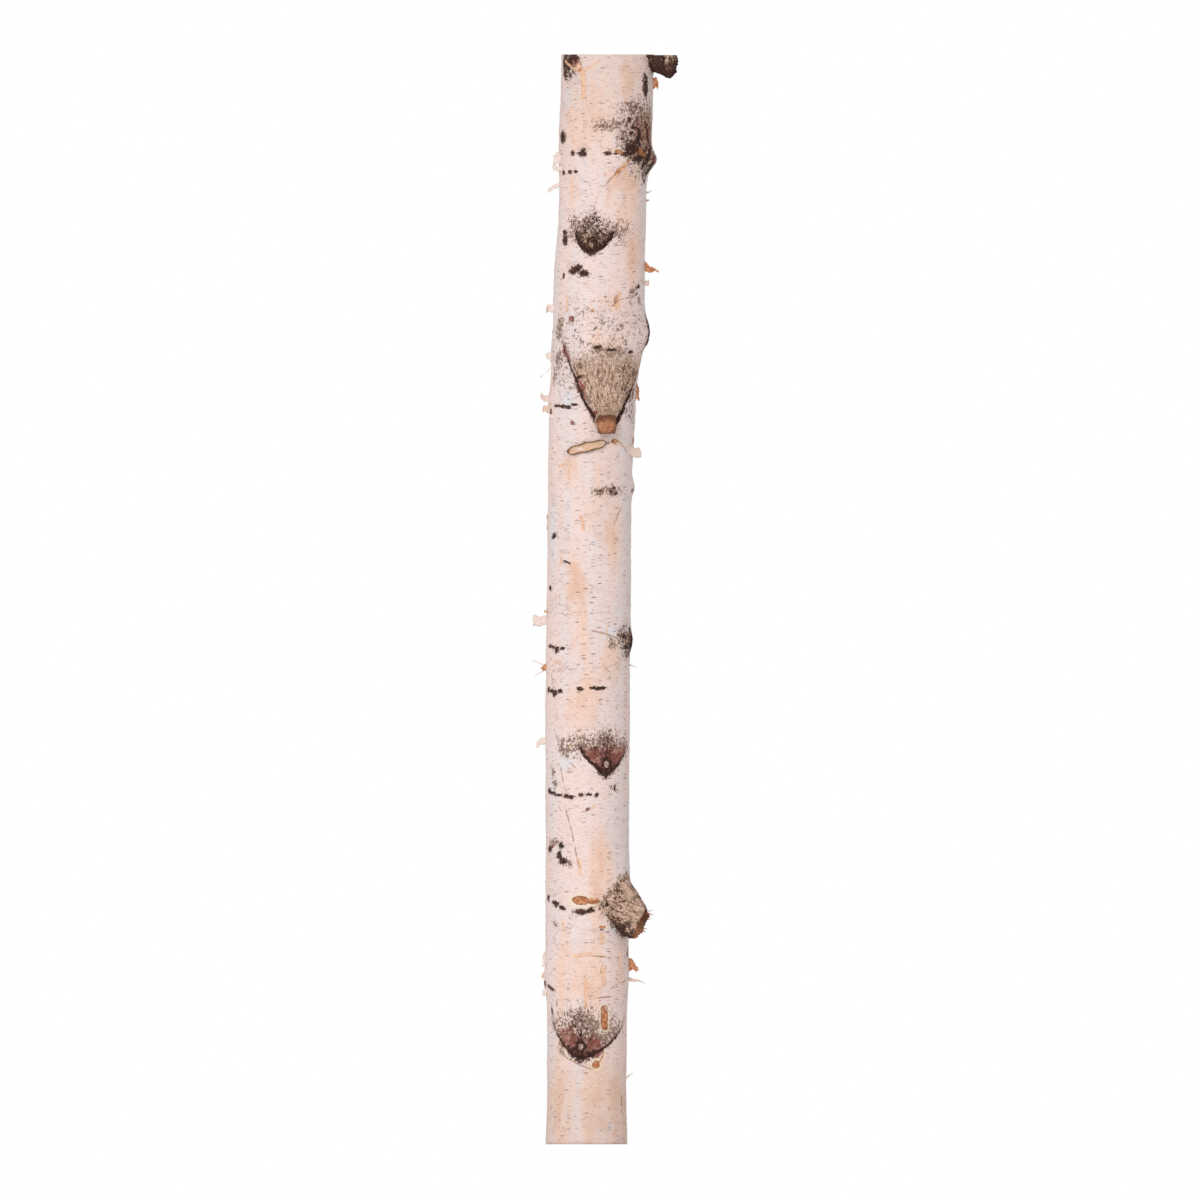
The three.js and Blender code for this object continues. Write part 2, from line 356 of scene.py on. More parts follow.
# Branch stubs. root is the (height, turn) of the middle of the root, which spreads over the
# bark in a rounded diamond; tip is the (height, turn, reach) of the end face's middle. The end
# faces the turn aim and down by slope. gloom is how dark its bark is.
STUBS = [
    dict(name="broken_stub", root=(219, 62), spread=29, tip=(202, 59, 57), aim=82, radius=15,
         slope=24, flare=1.2, square=2.4, shape=1.25, ring=0.25, broken=3.4, gloom=0.16),
    dict(name="twig_stub", root=(666, 17), spread=9, tip=(660.5, 14.8, 51.5), aim=10, radius=8.9,
         slope=4, flare=1.0, square=7.0, shape=2.0, ring=-0.2, broken=0.25, gloom=-0.4),
    dict(name="top_stub", root=(1003, 84), spread=19, tip=(992, 86, 60), aim=86, radius=13.5,
         slope=6, flare=1.0, square=2.6, shape=2.0, ring=0.7, broken=3.4, gloom=0.52),
    dict(name="rear_stub", root=(413, 152), spread=17, tip=(405, 152, 53), aim=152, radius=9.6,
         slope=16, flare=1.3, square=2.2, shape=2.0, ring=0.5, broken=0.25, gloom=0.0),
    dict(name="rear_twig_stub", root=(773, -138), spread=15, tip=(767, -138, 52), aim=-138,
         radius=7.8, slope=14, flare=1.3, square=2.2, shape=2.0, ring=0.5, broken=2.0, gloom=0.1),
]

# Loose paper bark: height and turn of the root; the side its free end points to; its length
# and width; the share of its width left at the tip; how far it opens from the bark and bends
# on, in degrees; how far the tip drops; and its tint, from 0, papery, to 1, orange.
CURLS = [
    (904, -76, -1, 9, 11, 0.8, 30, 30, 0, 0.25), (896, -66, -1, 15, 6, 0.7, 8, 30, 1, 0.3),
    (881, -84, -1, 12, 4.4, 0.9, 60, 10, 6, 0.15), (768, -82, -1, 9, 8, 0.8, 45, 100, 2, 0.3),
    (722, -84, -1, 6, 9, 0.4, 40, 30, -2, 0.05), (713, -86, -1, 10, 1.3, 0.2, 70, 10, 9, 0.05),
    (684, -84, -1, 8, 6, 0.9, 65, 70, -2, 0.4), (675, -84, -1, 7, 8, 0.5, 55, 60, 1, 0.5),
    (481, -88, -1, 13.6, 8.5, 1.15, 80, 8, 1, 0.2), (489, -80, -1, 9, 2.4, 0.9, 55, 240, 0, 0.4),
    (439, -86, -1, 13.8, 1.5, 0.5, 75, 30, -5, 0.3), (436, -86, -1, 11, 1.6, 0.3, 75, -20, 6, 0.4),
    (438, -82, -1, 6, 7, 0.3, 50, 40, 1, 0.8), (371, -86, -1, 9.5, 6.5, 0.9, 72, 10, 4, 0.15),
    (169, -82, -1, 5, 13, 0.8, 22, 20, 0, 0.1), (155, -86, -1, 3, 5, 0.8, 60, 30, 0, 0.6),
    (141, -80, -1, 5, 9, 0.5, 28, 20, 2, 0.2), (974, 84, 1, 6, 11, 0.7, 60, 60, 1, 0.95),
    (873, 84, 1, 6, 2.4, 0.1, 70, 0, -2, 0.5), (866, 86, 1, 3, 2.4, 0.4, 70, 0, 0, 0.6),
    (806, 82, 1, 13.5, 10, 0.03, 74, 0, 6, 0.85), (790, 82, 1, 8, 5, 0.9, 60, 150, -1, 0.2),
    (690, 80, 1, 5, 15, 0.8, 26, 30, 0, 0.75), (637, 62, 1, 14, 9, 1.0, 22, 16, 3, 0.45),
    (440, 84, 1, 8, 1.7, 0.2, 70, 0, 3, 0.4), (165, 84, 1, 10, 14, 0.25, 72, 0, 3, 0.95),
    (152, 84, 1, 17, 4.4, 0.02, 80, -6, 4, 0.5), (60, 84, 1, 7, 2.8, 0.1, 66, 0, -6, 0.4),
    (895, 22, -1, 9, 6, 0.15, 14, 30, 4, 0.8), (777, 26, -1, 8, 9, 0.2, 12, 20, 3, 0.7),
    (645, 38, -1, 9, 6, 0.3, 12, 30, 1, 0.8), (910, 20, -1, 8, 4, 0.2, 14, 30, -1, 0.9),
    (984, -40, 1, 8, 3, 0.2, 14, 20, -4, 0.8), (125, 30, -1, 6, 5, 0.5, 16, 40, 0, 0.6),
    (668, -62, -1, 6, 5, 0.3, 20, 40, 0, 0.2), (225, 4, 1, 9, 3, 0.3, 10, 20, 0, 0.8),
]


class Skin:
    """The bark as a grid of rows and columns, with its relief and its paint layers.

    A layer holds 1 at a mark's middle, 0 at its edge and less outside. The crack layer is
    the signed distance in mm to the nearest hairline, and near is 1 on it and 0 far away.
    """

    def __init__(self, heights, turns):
        self.height, self.turn = np.meshgrid(heights, turns, indexing="ij")
        self.radius = bark_radius(self.height, self.turn)
        self.mean = BUTT_RADIUS * profile(TAPER, self.height)
        self.lift = np.zeros_like(self.height)
        self.layers = {name: np.full_like(self.height, BLANK) for name in LAYERS}
        self.crack = np.full_like(self.height, FAR)
        self.strand = self.mean * np.radians(self.turn)
        self.along = 0.12 * self.height

    def around(self, height, turn, tilt=0.0):
        """Distances right and up from a place, in mm, turned by a tilt."""
        right = beside(self.turn, turn, self.mean)
        up = self.height - height
        c, s = math.cos(math.radians(tilt)), math.sin(math.radians(tilt))
        return right * c + up * s, up * c - right * s

    def raise_layer(self, name, value):
        """A new mark shows where it is stronger than what the layer holds."""
        self.layers[name] = np.maximum(self.layers[name], value)

    def blot(self, name, height, turn, tall, wide, tilt=0.0, lift=0.0, peak=1.0):
        """An oval mark, with how far it stands out of the bark and its layer's highest value."""
        right, up = self.around(height, turn, tilt)
        far = np.sqrt((right / wide) ** 2 + (up / tall) ** 2)
        self.raise_layer(name, np.minimum(1 - far, peak))
        self.lift += lift * np.exp(-far ** 2)

    def from_line(self, points):
        """The signed distance in mm to a smooth line through points."""
        origin = points[0]
        radius = float(BUTT_RADIUS * profile(TAPER, origin[0]))
        right, up = self.around(*origin)
        path = [(math.radians(t - origin[1]) * radius, h - origin[0]) for h, t in smooth_line(points)]
        best = np.full_like(self.height, 99.0)
        for (ax, ay), (bx, by) in zip(path, path[1:]):
            bx, by = bx - ax, by - ay
            share = np.clip(((right - ax) * bx + (up - ay) * by) / (bx * bx + by * by), 0, 1)
            dx, dy = right - ax - share * bx, up - ay - share * by
            far = np.hypot(dx, dy) * np.sign(bx * dy - by * dx)
            best = np.where(np.abs(far) < np.abs(best), far, best)
        return best

    def hairline(self, points, reach=5.0):
        """A fine crack along a line."""
        far = self.from_line(points)
        self.crack = np.where(np.abs(far) < np.abs(self.crack), far, self.crack)
        self.raise_layer("near", 1 - np.abs(far) / reach)

    def stroke(self, name, width, points):
        """A mark of even width along a line."""
        self.raise_layer(name, 1 - np.abs(self.from_line(points)) / (width / 2))

    def fold(self, height, turn, left, right, rise, flat=0.0, power=1.35):
        """The V of a branch scar: how far above its line each point lies, and how far out."""
        across, up = self.around(height, turn)
        across = across + 1.6 * rumple(self.points(), 14, 2, height) * ease(np.abs(across), 2, 9)
        reach = np.where(across < 0, left, right)
        out = np.clip((np.abs(across) - flat) / (reach - flat), 0, 3)
        line = rise * out ** power
        slope = rise * power * out ** (power - 1) / (reach - flat)
        return (up - line) / np.sqrt(1 + slope ** 2), out, across, up

    def fan(self, where, across, up, root):
        """Fibres that fan up and out from a point below a scar's throat."""
        rise = np.maximum(up, -0.5 * root) + root
        self.strand = np.where(where, np.degrees(np.arctan2(across, rise)) * 0.7, self.strand)
        self.along = np.where(where, np.hypot(across, rise) * 0.12, self.along)

    def points(self):
        """The place of every point in mm."""
        return on_log(self.height, self.turn, self.radius)


def paint_eye(skin, height, turn, left, right, rise, bed, lip, dark=3, fill=False, power=1.4):
    """A healed branch scar: a dark crease, a bed above it, and a crust that fades upward."""
    above, out, across, up = skin.fold(height, turn, left, right, rise, power=power)
    arms = 1 - ease(out, 0.8, 1.15)
    thick = dark * (1 - 0.5 * np.clip(out, 0, 1))
    skin.raise_layer("dark", (1 - np.abs(above - thick * 0.4) / thick) * arms - (1 - arms))
    skin.raise_layer("dark", 0.85 - np.hypot(across / (0.45 * left), (above - 1.5) / 5.5))
    level = (bed * rise - up - 0.1 * np.abs(across)) / (15 if fill else 22)
    inside = np.clip(np.minimum(above / 3, level), -1, 1) * arms - (1 - arms)
    if fill:
        skin.raise_layer("rough", inside + 0.2)
        throat = np.exp(-(across / (0.5 * left)) ** 2)
        depth = np.maximum(0.75 - above / (5 + 10 * throat), 0.16)
        skin.raise_layer("dark", np.minimum(inside + 0.1, depth))
    else:
        skin.raise_layer("rust", inside + 0.15)
        throat = np.exp(-(across / (0.3 * left)) ** 2)
        edge = np.minimum(0.45 * throat - above / 8, (above + 0.8) / 2)
        skin.raise_layer("dark", np.clip(edge, -1, 1) * arms - (1 - arms))
    reach = np.where(across < 0, left, right)
    crust = np.minimum((1.75 * rise - up - 0.25 * np.abs(across)) / (0.9 * rise), (above + 1) / 5)
    crust = np.minimum(crust, (1.2 * reach - np.abs(across)) / 9)
    skin.raise_layer("grey", np.clip(crust, -1, 0.8))
    close = (above > -2) & (up < 2.2 * rise) & (np.abs(across) < 1.3 * reach)
    skin.fan(close, across, up, 10.0)
    # the bud in the throat of the V, a pale drop in a dark ring
    drop = np.hypot(across / 2.3, (up - 0.38 * rise) / 3.4)
    skin.raise_layer("dark", 1 - np.abs(drop - 1.5) / 0.7)
    # above the drop the crust closes in a dark ridge
    ridge = np.hypot(across / 2.4, (up - 0.8 * rise) / (0.3 * rise))
    skin.raise_layer("dark", 0.5 - ridge)
    cloud = np.hypot(across / 9, (up - 0.8 * rise) / (0.55 * rise))
    skin.raise_layer("dark", np.minimum(1 - cloud, -0.12))
    for layer in ("dark", "rust"):
        skin.layers[layer] = np.where(drop < 0.95, -0.6, skin.layers[layer])
    skin.lift += lip * np.exp(-((above - 4.5) / 4) ** 2) * arms
    skin.lift -= 1.3 * np.exp(-(above / 0.9) ** 2) * arms
    skin.lift += 1.4 * np.exp(-drop ** 2)


def paint_collar(skin, height, turn, reach, rise, flat, bulge, crust):
    """A swollen collar of fibrous bark that hangs over the trunk in a deep V crease."""
    above, out, across, up = skin.fold(height, turn, reach, reach, rise, flat, 1.05)
    arms = 1 - ease(out, 0.92, 1.12)
    inside = ease(above, -0.4, 2.2) * arms
    swell = bulge * ease(above, -0.5, 9) * (1 - ease(up, 0.45 * rise, 1.6 * rise)) * arms
    folds = rumple(np.stack([above * 0.2, up * 0.04, across * 0.02], axis=-1), 1.0, 2, turn)
    skin.lift += swell + 0.6 * folds * inside * (1 - ease(up, 0.7 * rise, 1.05 * rise))
    skin.lift -= 1.8 * np.exp(-((above + 0.3) / 1.0) ** 2) * arms
    thick = np.where(across < 0, 1.5, 2.9) * (1 - 0.3 * np.clip(out, 0, 1))
    crease = 1 - np.abs(above - 0.3) / thick
    skin.raise_layer("dark", np.clip(crease, -1, 0.8) * arms - (1 - arms))
    worn = np.sin(0.2 * up + turn)
    skin.raise_layer("rust", (0.7 + 0.5 * worn - np.abs(above - 1.6) / 4.4) * arms - (1 - arms))
    depth = np.minimum(above / 5.0, (crust + 16 - up - 0.14 * np.abs(across)) / 22)
    skin.raise_layer("rough", np.clip(depth * arms - (1 - arms), -1, 1))
    upper = 1 - np.hypot(across / (1.25 * reach), (up - crust - 8) / 46)
    skin.raise_layer("grey", np.minimum(upper, 0.12))
    skin.fan(inside > 0.5, across, up, 22.0)


def paint_root(skin, root, spread, shape, ring):
    """Dark, crusty bark where a stub grows out of the trunk; the dark ring along the root's edge is
    partly that bark and partly painted shade in the crease.
    """
    right, up = skin.around(*root)
    far = (np.abs(right) ** shape + np.abs(up) ** shape) ** (1 / shape)
    far = far + 1.5 * rumple(skin.points(), 9, 2, root[0])
    # the dark ring: partly dark bark, partly painted shade in the crease where the stub meets the
    # trunk
    skin.raise_layer("dark", ring - np.abs(far - spread) / 2.0)
    skin.raise_layer("rust", 0.8 * ring - np.abs(far - spread) / 3.0)
    skin.raise_layer("rough", (spread + 2 - far) / 4)
    skin.raise_layer("grey", 0.6 - (far - spread) / 9)


def lift_marks(skin):
    """Fine relief over the whole skin: wide waves, rings of old growth, and paper wrinkles."""
    points = skin.points()
    skin.lift += 0.7 * rumple(points, 70, 2, 3.0)
    skin.lift += 0.28 * rumple(points, (22, 22, 9), 3, 5.0)
    skin.lift += 0.16 * rumple(points, (6, 6, 2.2), 2, 8.0)
    crusty = ease(skin.layers["dark"], -0.1, 0.3) + 0.15 * ease(skin.layers["rough"], -0.1, 0.3)
    skin.lift += 0.5 * np.minimum(crusty, 1) * rumple(points, 3.4, 3, 11.0)
    crust = ease(skin.layers["grey"], 0, 0.5)
    skin.lift += 0.4 * crust * rumple(points, 4.2, 3, 17.0)
    skin.lift -= 0.5 * ease(skin.layers["amber"], 0, 0.35)


def row_heights():
    """Rows lie closer together where there are marks."""
    busy = [mark[0] for mark in DARK_MARKS + AMBER_MARKS] + [eye["height"] + 10 for eye in EYES]
    busy += [c["height"] + 0.3 * c["rise"] for c in COLLARS]
    z = np.arange(0, LENGTH, 0.5)
    nearest = np.min(np.abs(z[:, None] - np.array(busy)[None, :]), axis=1)
    step = FINE_STEP + (PLAIN_STEP - FINE_STEP) * ease(nearest, 5, 14)
    count = np.cumsum(0.5 / step)
    rows = int(count[-1])
    inner = np.interp(np.linspace(count[0], count[-1], rows), count, z)
    inner[0], inner[-1] = 0.0, LENGTH
    return inner


def paint_skin():
    """The whole skin with all its marks."""
    turns = -180 + 360 * np.arange(COLUMNS) / COLUMNS
    skin = Skin(row_heights(), turns)
    for collar in COLLARS:
        paint_collar(skin, **collar)
    for eye in EYES:
        paint_eye(skin, **eye)
    tables = dict(dark=DARK_MARKS, grey=GREY_MARKS, rough=ROUGH_MARKS, rust=RUST_MARKS,
                  amber=AMBER_MARKS, pale=PALE_MARKS, peach=PEACH_MARKS)
    for name, marks in tables.items():
        for mark in marks:
            skin.blot(name, *mark, lift=0.5 if name == "dark" else 0.0)
    for height, turn, tall, wide in ROUGH_MARKS:
        across, up = skin.around(height - 0.4 * tall, turn)
        inside = np.hypot(across / wide, (up - 0.4 * tall) / tall) < 1.2
        skin.fan(inside, across, up, 0.5 * tall)
    for *mark, strength in FAINT_MARKS:
        skin.blot(*mark, peak=strength)
    for name, strokes in dict(amber=AMBER_STROKES, honey=HONEY_STROKES).items():
        for width, points in strokes:
            skin.stroke(name, width, points)
    for points in CRACKS:
        skin.hairline(points)
    for stub in STUBS:
        paint_root(skin, stub["root"], stub["spread"], stub["shape"], stub["ring"])
    lift_marks(skin)
    return skin


# ---------------------------------------------------------------- meshes

def make_object(name, points, faces, materials, slots=None, flat=None, **layers):
    """A mesh object from points in mm, with a value for each point in each layer."""
    mesh = bpy.data.meshes.new(name)
    mesh.from_pydata([tuple(p) for p in points * MM], [], faces)
    for material in materials:
        mesh.materials.append(material)
    smooth = np.ones(len(faces), bool)
    if flat is not None:
        smooth[np.asarray(flat, bool)] = False
    mesh.polygons.foreach_set("use_smooth", smooth)
    if slots is not None:
        mesh.polygons.foreach_set("material_index", np.asarray(slots, np.int32))
    for layer, data in layers.items():
        attribute = mesh.attributes.new(layer, "FLOAT", "POINT")
        attribute.data.foreach_set("value", np.asarray(data, np.float32).ravel())
    mesh.update()
    piece = bpy.data.objects.new(name, mesh)
    bpy.context.scene.collection.objects.link(piece)
    return piece


def hand_over(piece):
    """The piece stands for the frame's log: it hangs from the root body, and the frame's log is
    hidden.
    """
    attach(piece, "root")
    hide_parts("birch_log")


# The trunk's UV map, in shares of the square: the bark in two strips side by side, each half of
# the trunk tall, and above them a disc for each sawn end.
STRIP_TALL = 0.82
STRIP_WIDE = 0.48
STRIP_STEP = 0.5
STRIP_EDGE = 0.01
DISC_RADIUS = 0.075
DISC_FIRST = 0.1
DISC_STEP = 0.2
DISC_UP = 0.915


def bark_corner(skin, row, column, upper):
    """Where a point of the bark lies in the UV map."""
    rows, columns = skin.height.shape
    low, high = (rows // 2, rows - 1) if upper else (0, rows // 2)
    z0, z1 = skin.height[low, 0], skin.height[high, 0]
    v = STRIP_EDGE + STRIP_TALL * (skin.height[row, 0] - z0) / (z1 - z0)
    return STRIP_EDGE + STRIP_STEP * upper + STRIP_WIDE * column / columns, v


def trunk_bark(skin):
    """The quads of the bark, with their UV corners."""
    rows, columns = skin.height.shape
    faces, corners = [], []
    for row in range(rows - 1):
        upper = row >= rows // 2
        for column in range(columns):
            after = (column + 1) % columns
            faces.append((row * columns + column, row * columns + after,
                          (row + 1) * columns + after, (row + 1) * columns + column))
            around = [(row, column), (row, column + 1), (row + 1, column + 1), (row + 1, column)]
            corners += [bark_corner(skin, *place, upper) for place in around]
    return faces, corners


def sawn_end(edge, top, previous, count):
    """One sawn end, in rings from the bark's edge to the middle.

    previous and count number the edge's first point and the first new one. The end comes back
    as rings of points, their distances from the edge, faces and UV corners.
    """
    columns = len(edge)
    centre = on_log(LENGTH if top else 0.0, 0.0, 0.0)
    angles = 2 * math.pi * np.arange(columns + 1) / columns
    middle_u = DISC_FIRST + DISC_STEP * top
    rings, rim, faces, corners = [], [], [], []
    for step in range(1, CAP_RINGS + 1):
        share = 1 - step / CAP_RINGS
        last = step == CAP_RINGS
        ring = centre[None, :] if last else centre + (edge - centre) * share
        far = np.linalg.norm(edge - ring, axis=1)
        rings.append(ring)
        rim.append(far.mean(keepdims=True) if last else far)
        outer, inner = DISC_RADIUS * (share + 1 / CAP_RINGS), DISC_RADIUS * share
        for column in range(columns):
            after = (column + 1) % columns
            a, b = angles[column], angles[column + 1]
            if last:
                face = (previous + column, previous + after, count)
                around = [(outer, a), (outer, b), (0, 0)]
            else:
                face = (previous + column, previous + after, count + after, count + column)
                around = [(outer, a), (outer, b), (inner, b), (inner, a)]
            if not top:
                face, around = face[::-1], around[::-1]
            faces.append(face)
            corners += [(middle_u + r * math.cos(t), DISC_UP + r * math.sin(t)) for r, t in around]
        previous, count = count, count + len(ring)
    return rings, rim, faces, corners


def build_trunk(skin, bark, sawn):
    """The trunk: its bark, closed by two sawn ends."""
    rows, columns = skin.height.shape
    skin.radius = skin.radius + skin.lift
    side = skin.points()
    bark_count = rows * columns
    points, rim = [side.reshape(-1, 3)], [np.zeros(bark_count)]
    faces, corners = trunk_bark(skin)
    bark_faces = len(faces)
    count = bark_count
    for top in (False, True):
        edge, first = (side[-1], bark_count - columns) if top else (side[0], 0)
        rings, far, end_faces, end_corners = sawn_end(edge, top, first, count)
        points += rings
        rim += far
        faces += end_faces
        corners += end_corners
        count += sum(len(ring) for ring in rings)

    blank = np.full(count - bark_count, BLANK)
    on_bark = dict(skin.layers, crack=skin.crack, strand=skin.strand, along=skin.along)
    layers = {name: np.concatenate([data.ravel(), blank]) for name, data in on_bark.items()}
    layers["rim"] = np.concatenate(rim)
    is_sawn = np.arange(len(faces)) >= bark_faces
    piece = make_object("birch_trunk", np.concatenate(points), faces, [bark, sawn],
                        slots=is_sawn, flat=is_sawn, **layers)
    uv = piece.data.uv_layers.new(name="OFBake")
    uv.data.foreach_set("uv", np.array(corners, np.float32).ravel())
    return piece


def layer_values(count, **given):
    """A full set of bark layers for a piece, blank where none is given."""
    values = {name: np.full(count, BLANK) for name in LAYERS}
    values.update(crack=np.full(count, FAR))
    values.update(given)
    return values


def ring_faces(rings, count, start=0):
    """Quads between rings of points, each with the same count."""
    faces = []
    for ring in range(rings - 1):
        for i in range(count):
            after = (i + 1) % count
            a, b = start + ring * count, start + (ring + 1) * count
            faces.append((a + i, a + after, b + after, b + i))
    return faces


def rounded_square(turn, power):
    """The reach at each turn of an outline: a diamond at 1, a circle at 2, squarer above."""
    return (np.abs(np.cos(turn)) ** power + np.abs(np.sin(turn)) ** power) ** (-1 / power)


def face_frame(aim, slope):
    """Which way an end faces, and the directions right and up across it."""
    down = np.array([0, 0, math.sin(math.radians(slope))])
    way = outward(aim) * math.cos(math.radians(slope)) - down
    up = np.array([0, 0, 1.0]) - way * way[2]
    up /= np.linalg.norm(up)
    return way, np.cross(up, way), up


def stub_wall(turn, spokes, root, spread, middle, radius, flare, square, shape):
    """Rings of points from the bark to the end's rim, and each point's share of the way."""
    def on_bark(reach, inset):
        reach = reach * rounded_square(turn, shape)
        height = root[0] + np.sin(turn) * reach
        across = np.cos(turn) * reach / BUTT_RADIUS / float(profile(TAPER, root[0]))
        around = root[1] + np.degrees(across)
        return on_log(height, around, bark_radius(height, around) - inset)

    rim = middle + spokes * (radius * rounded_square(turn, square))[:, None]
    seat = on_bark(radius, 0)
    points = []
    for share in np.linspace(0, 1, WALL_RINGS):
        reach = spread + (radius - spread) * share
        points.append(on_bark(reach, 1.6 * (1 - share) ** 3) + share ** flare * (rim - seat))
    points, share = np.concatenate(points), np.repeat(np.linspace(0, 1, WALL_RINGS), STUB_SIDES)
    angle = np.tile(turn, WALL_RINGS)
    fibre_place = np.stack([np.cos(angle) * 5, np.sin(angle) * 5, share * 2.2], axis=-1)
    fibres = rumple(fibre_place, 1.0, 4, root[0])
    lumps = rumple(points, 9, 3, root[0])
    push = (1.1 * fibres + 1.0 * lumps) * ease(share, 0.0, 0.25)
    return points + np.tile(spokes, (WALL_RINGS, 1)) * push[:, None], share


def stub_end(rim, middle, way, broken):
    """The end's points, ring by ring to its middle, as rough as it is broken."""
    rings = []
    for step in range(1, END_RINGS + 1):
        share = step / END_RINGS
        ring = middle + (rim - middle) * (1 - share) if share < 1 else middle[None, :]
        rough = rumple(ring, (2.2, 2.2, 5), 4, 31.0) * broken
        rough += broken * 0.8 * ease(np.full(len(ring), share), 0, 0.5)
        rings.append(ring + way * rough[:, None])
    return np.concatenate(rings)


def stub_faces(gloom, deep):
    """The stub's faces and their material slots. deep numbers the point inside the trunk."""
    start = (WALL_RINGS - 1) * STUB_SIDES
    last = start + (END_RINGS - 1) * STUB_SIDES
    wall = ring_faces(WALL_RINGS, STUB_SIDES)
    sides = range(STUB_SIDES)
    end = ring_faces(END_RINGS, STUB_SIDES, start)
    end += [(last + i, last + (i + 1) % STUB_SIDES, last + STUB_SIDES) for i in sides]
    root = [((i + 1) % STUB_SIDES, i, deep) for i in sides]
    end_slot = 0 if gloom > CRUSTED_GLOOM else 1
    return wall + end + root, [0] * len(wall) + [end_slot] * len(end) + [0] * len(root)


def build_stub(bark, wood, name, root, spread, tip, aim, radius, slope, flare, square, shape,
               ring, broken, gloom):
    """A stub that spreads over the bark at its root and narrows to a sawn or broken end."""
    turn = 2 * math.pi * np.arange(STUB_SIDES) / STUB_SIDES
    way, right, up = face_frame(aim, slope)
    middle = on_log(*tip)
    spokes = np.cos(turn)[:, None] * right + np.sin(turn)[:, None] * up
    wall, share = stub_wall(turn, spokes, root, spread, middle, radius, flare, square, shape)
    end = stub_end(wall[-STUB_SIDES:], middle, way, broken)
    deep = on_log(tip[0] - 6, root[1], 0.6 * BUTT_RADIUS)[None, :]
    points = np.concatenate([wall, end, deep])
    faces, slots = stub_faces(gloom, len(points) - 1)

    sawn_level = LENGTH - SAWN_STEP
    points[:, 2] = np.minimum(points[:, 2], sawn_level)
    sawn = [min(points[i, 2] for i in face) >= sawn_level for face in faces]
    slots = [1 if cut else slot for cut, slot in zip(sawn, slots)]

    depth = np.concatenate([share, np.ones(len(end)), [0.0]])
    spin = np.concatenate([np.tile(turn, WALL_RINGS), np.tile(turn, END_RINGS)[:len(end)], [0.0]])
    # crease: a dark band at the foot of the stub's wall, partly its dark bark and partly painted shade
    # where it meets the trunk
    crease = 0.4 * ring + 0.2 - np.abs(depth - 0.05) / 0.12
    # under: painted shade, darker on the stub's underside, added to the gloom of its own bark
    under = gloom - 0.4 - 0.8 * np.sin(spin) + 0.5 * rumple(points, 7, 3, 4.0)
    patches = gloom - 0.45 + 0.9 * rumple(points, (9, 9, 5), 3, 12.0)
    far = np.linalg.norm(points - middle, axis=1)
    # shade: how high a point lies on the end, for painted shade at its top, plus a share for how
    # broken the end is
    layers = layer_values(
        len(points), rough=np.full(len(points), 1.0), strand=spin * 11.0 + 6.0 * depth ** 2,
        dark=np.maximum(np.maximum(crease, under), patches), along=depth * 4.0,
        rim=np.where(depth >= 1, np.maximum(radius - far, 0), FAR),
        shade=(points - middle) @ up / radius + 0.16 * broken)
    piece = make_object(name, points, faces, [bark, wood], slots=slots, **layers)
    return piece, middle, way, right, up, radius


def sheet_faces(steps, lanes, turned=False):
    """The faces of a thin closed sheet whose top points come first and then those under them."""
    row, count = lanes + 1, (steps + 1) * (lanes + 1)
    faces = []
    for i in range(steps):
        for lane in range(lanes):
            a, b = i * row + lane, i * row + lane + 1
            top = (a, b, b + row, a + row)
            under = (a + count, a + row + count, b + row + count, b + count)
            faces += [face[:1] + face[:0:-1] if turned else face for face in (top, under)]
    edge = list(range(row)) + [i * row + lanes for i in range(1, steps + 1)]
    edge += [steps * row + lane for lane in range(lanes - 1, -1, -1)]
    edge += [i * row for i in range(steps - 1, 0, -1)]
    for a, b in zip(edge, edge[1:] + edge[:1]):
        if turned:
            a, b = b, a
        faces.append((b, a, a + count, b + count))
    return faces


def curl_strip(spot, direction, out, long, wide, tip, opening, bend, drop, tint, dice):
    """One loose strip of bark that leaves a spot: its points, faces and layers."""
    steps, lanes, thick = 12, 4, 0.32
    heights = np.cross(out, direction)
    heights = heights * np.sign(heights[2])
    top, under = [], []
    phase = dice.uniform(0, 6)
    for i in range(steps + 1):
        share = i / steps
        angle = math.radians(opening + bend * share)
        ahead = direction * math.cos(angle) + out * math.sin(angle)
        normal = out * math.cos(angle) - direction * math.sin(angle)
        half = 0.5 * wide * (1 + (tip - 1) * share)
        torn = 0.12 * wide * math.sin(7 * share + phase) * min(1, 2 * share)
        for lane in range(lanes + 1):
            across = 2 * lane / lanes - 1
            ragged = 0.09 * wide * dice.uniform(-1, 1) * abs(across)
            cup = 0.06 * wide * across ** 2 * share
            point = spot + heights * (across * half + torn + ragged * share - drop * share)
            point = point + normal * cup
            if i == steps:
                point = point + ahead * dice.uniform(-0.09, 0.05) * long
            top.append(point + normal * thick / 2)
            under.append(point - normal * thick / 2)
        spot = spot + ahead * long / steps
    faces = sheet_faces(steps, lanes)
    if np.cross(out, direction)[2] > 0:
        faces = [face[::-1] for face in faces]
    count = len(top)
    layers = dict(inner=[0.0] * count + [1.0] * count, tint=[tint] * 2 * count)
    return np.array(top + under), faces, layers


def hidden_curls(dice, number=18):
    """Loose strips on the sides away from the front."""
    curls = []
    for i in range(number):
        place = LENGTH * (i + dice.uniform(0.2, 0.8)) / number
        turn = dice.choice([-1, 1]) * dice.uniform(118, 172)
        long, wide = dice.uniform(5, 11), dice.uniform(2, 9)
        curls.append((place, turn, dice.choice([-1, 1]), long, wide, dice.uniform(0.1, 1),
                      dice.uniform(15, 55), dice.uniform(0, 90), dice.uniform(-2, 4), dice.random()))
    return curls


def on_bark_curls(dice):
    """Each loose strip's root and directions, followed by its shape."""
    for place, turn, side, *shape in CURLS + hidden_curls(dice):
        reach = float(bark_radius(np.array(float(place)), np.array(float(turn)))) - 0.5
        yield on_log(place, turn, reach), tangent(turn) * side, outward(turn), *shape


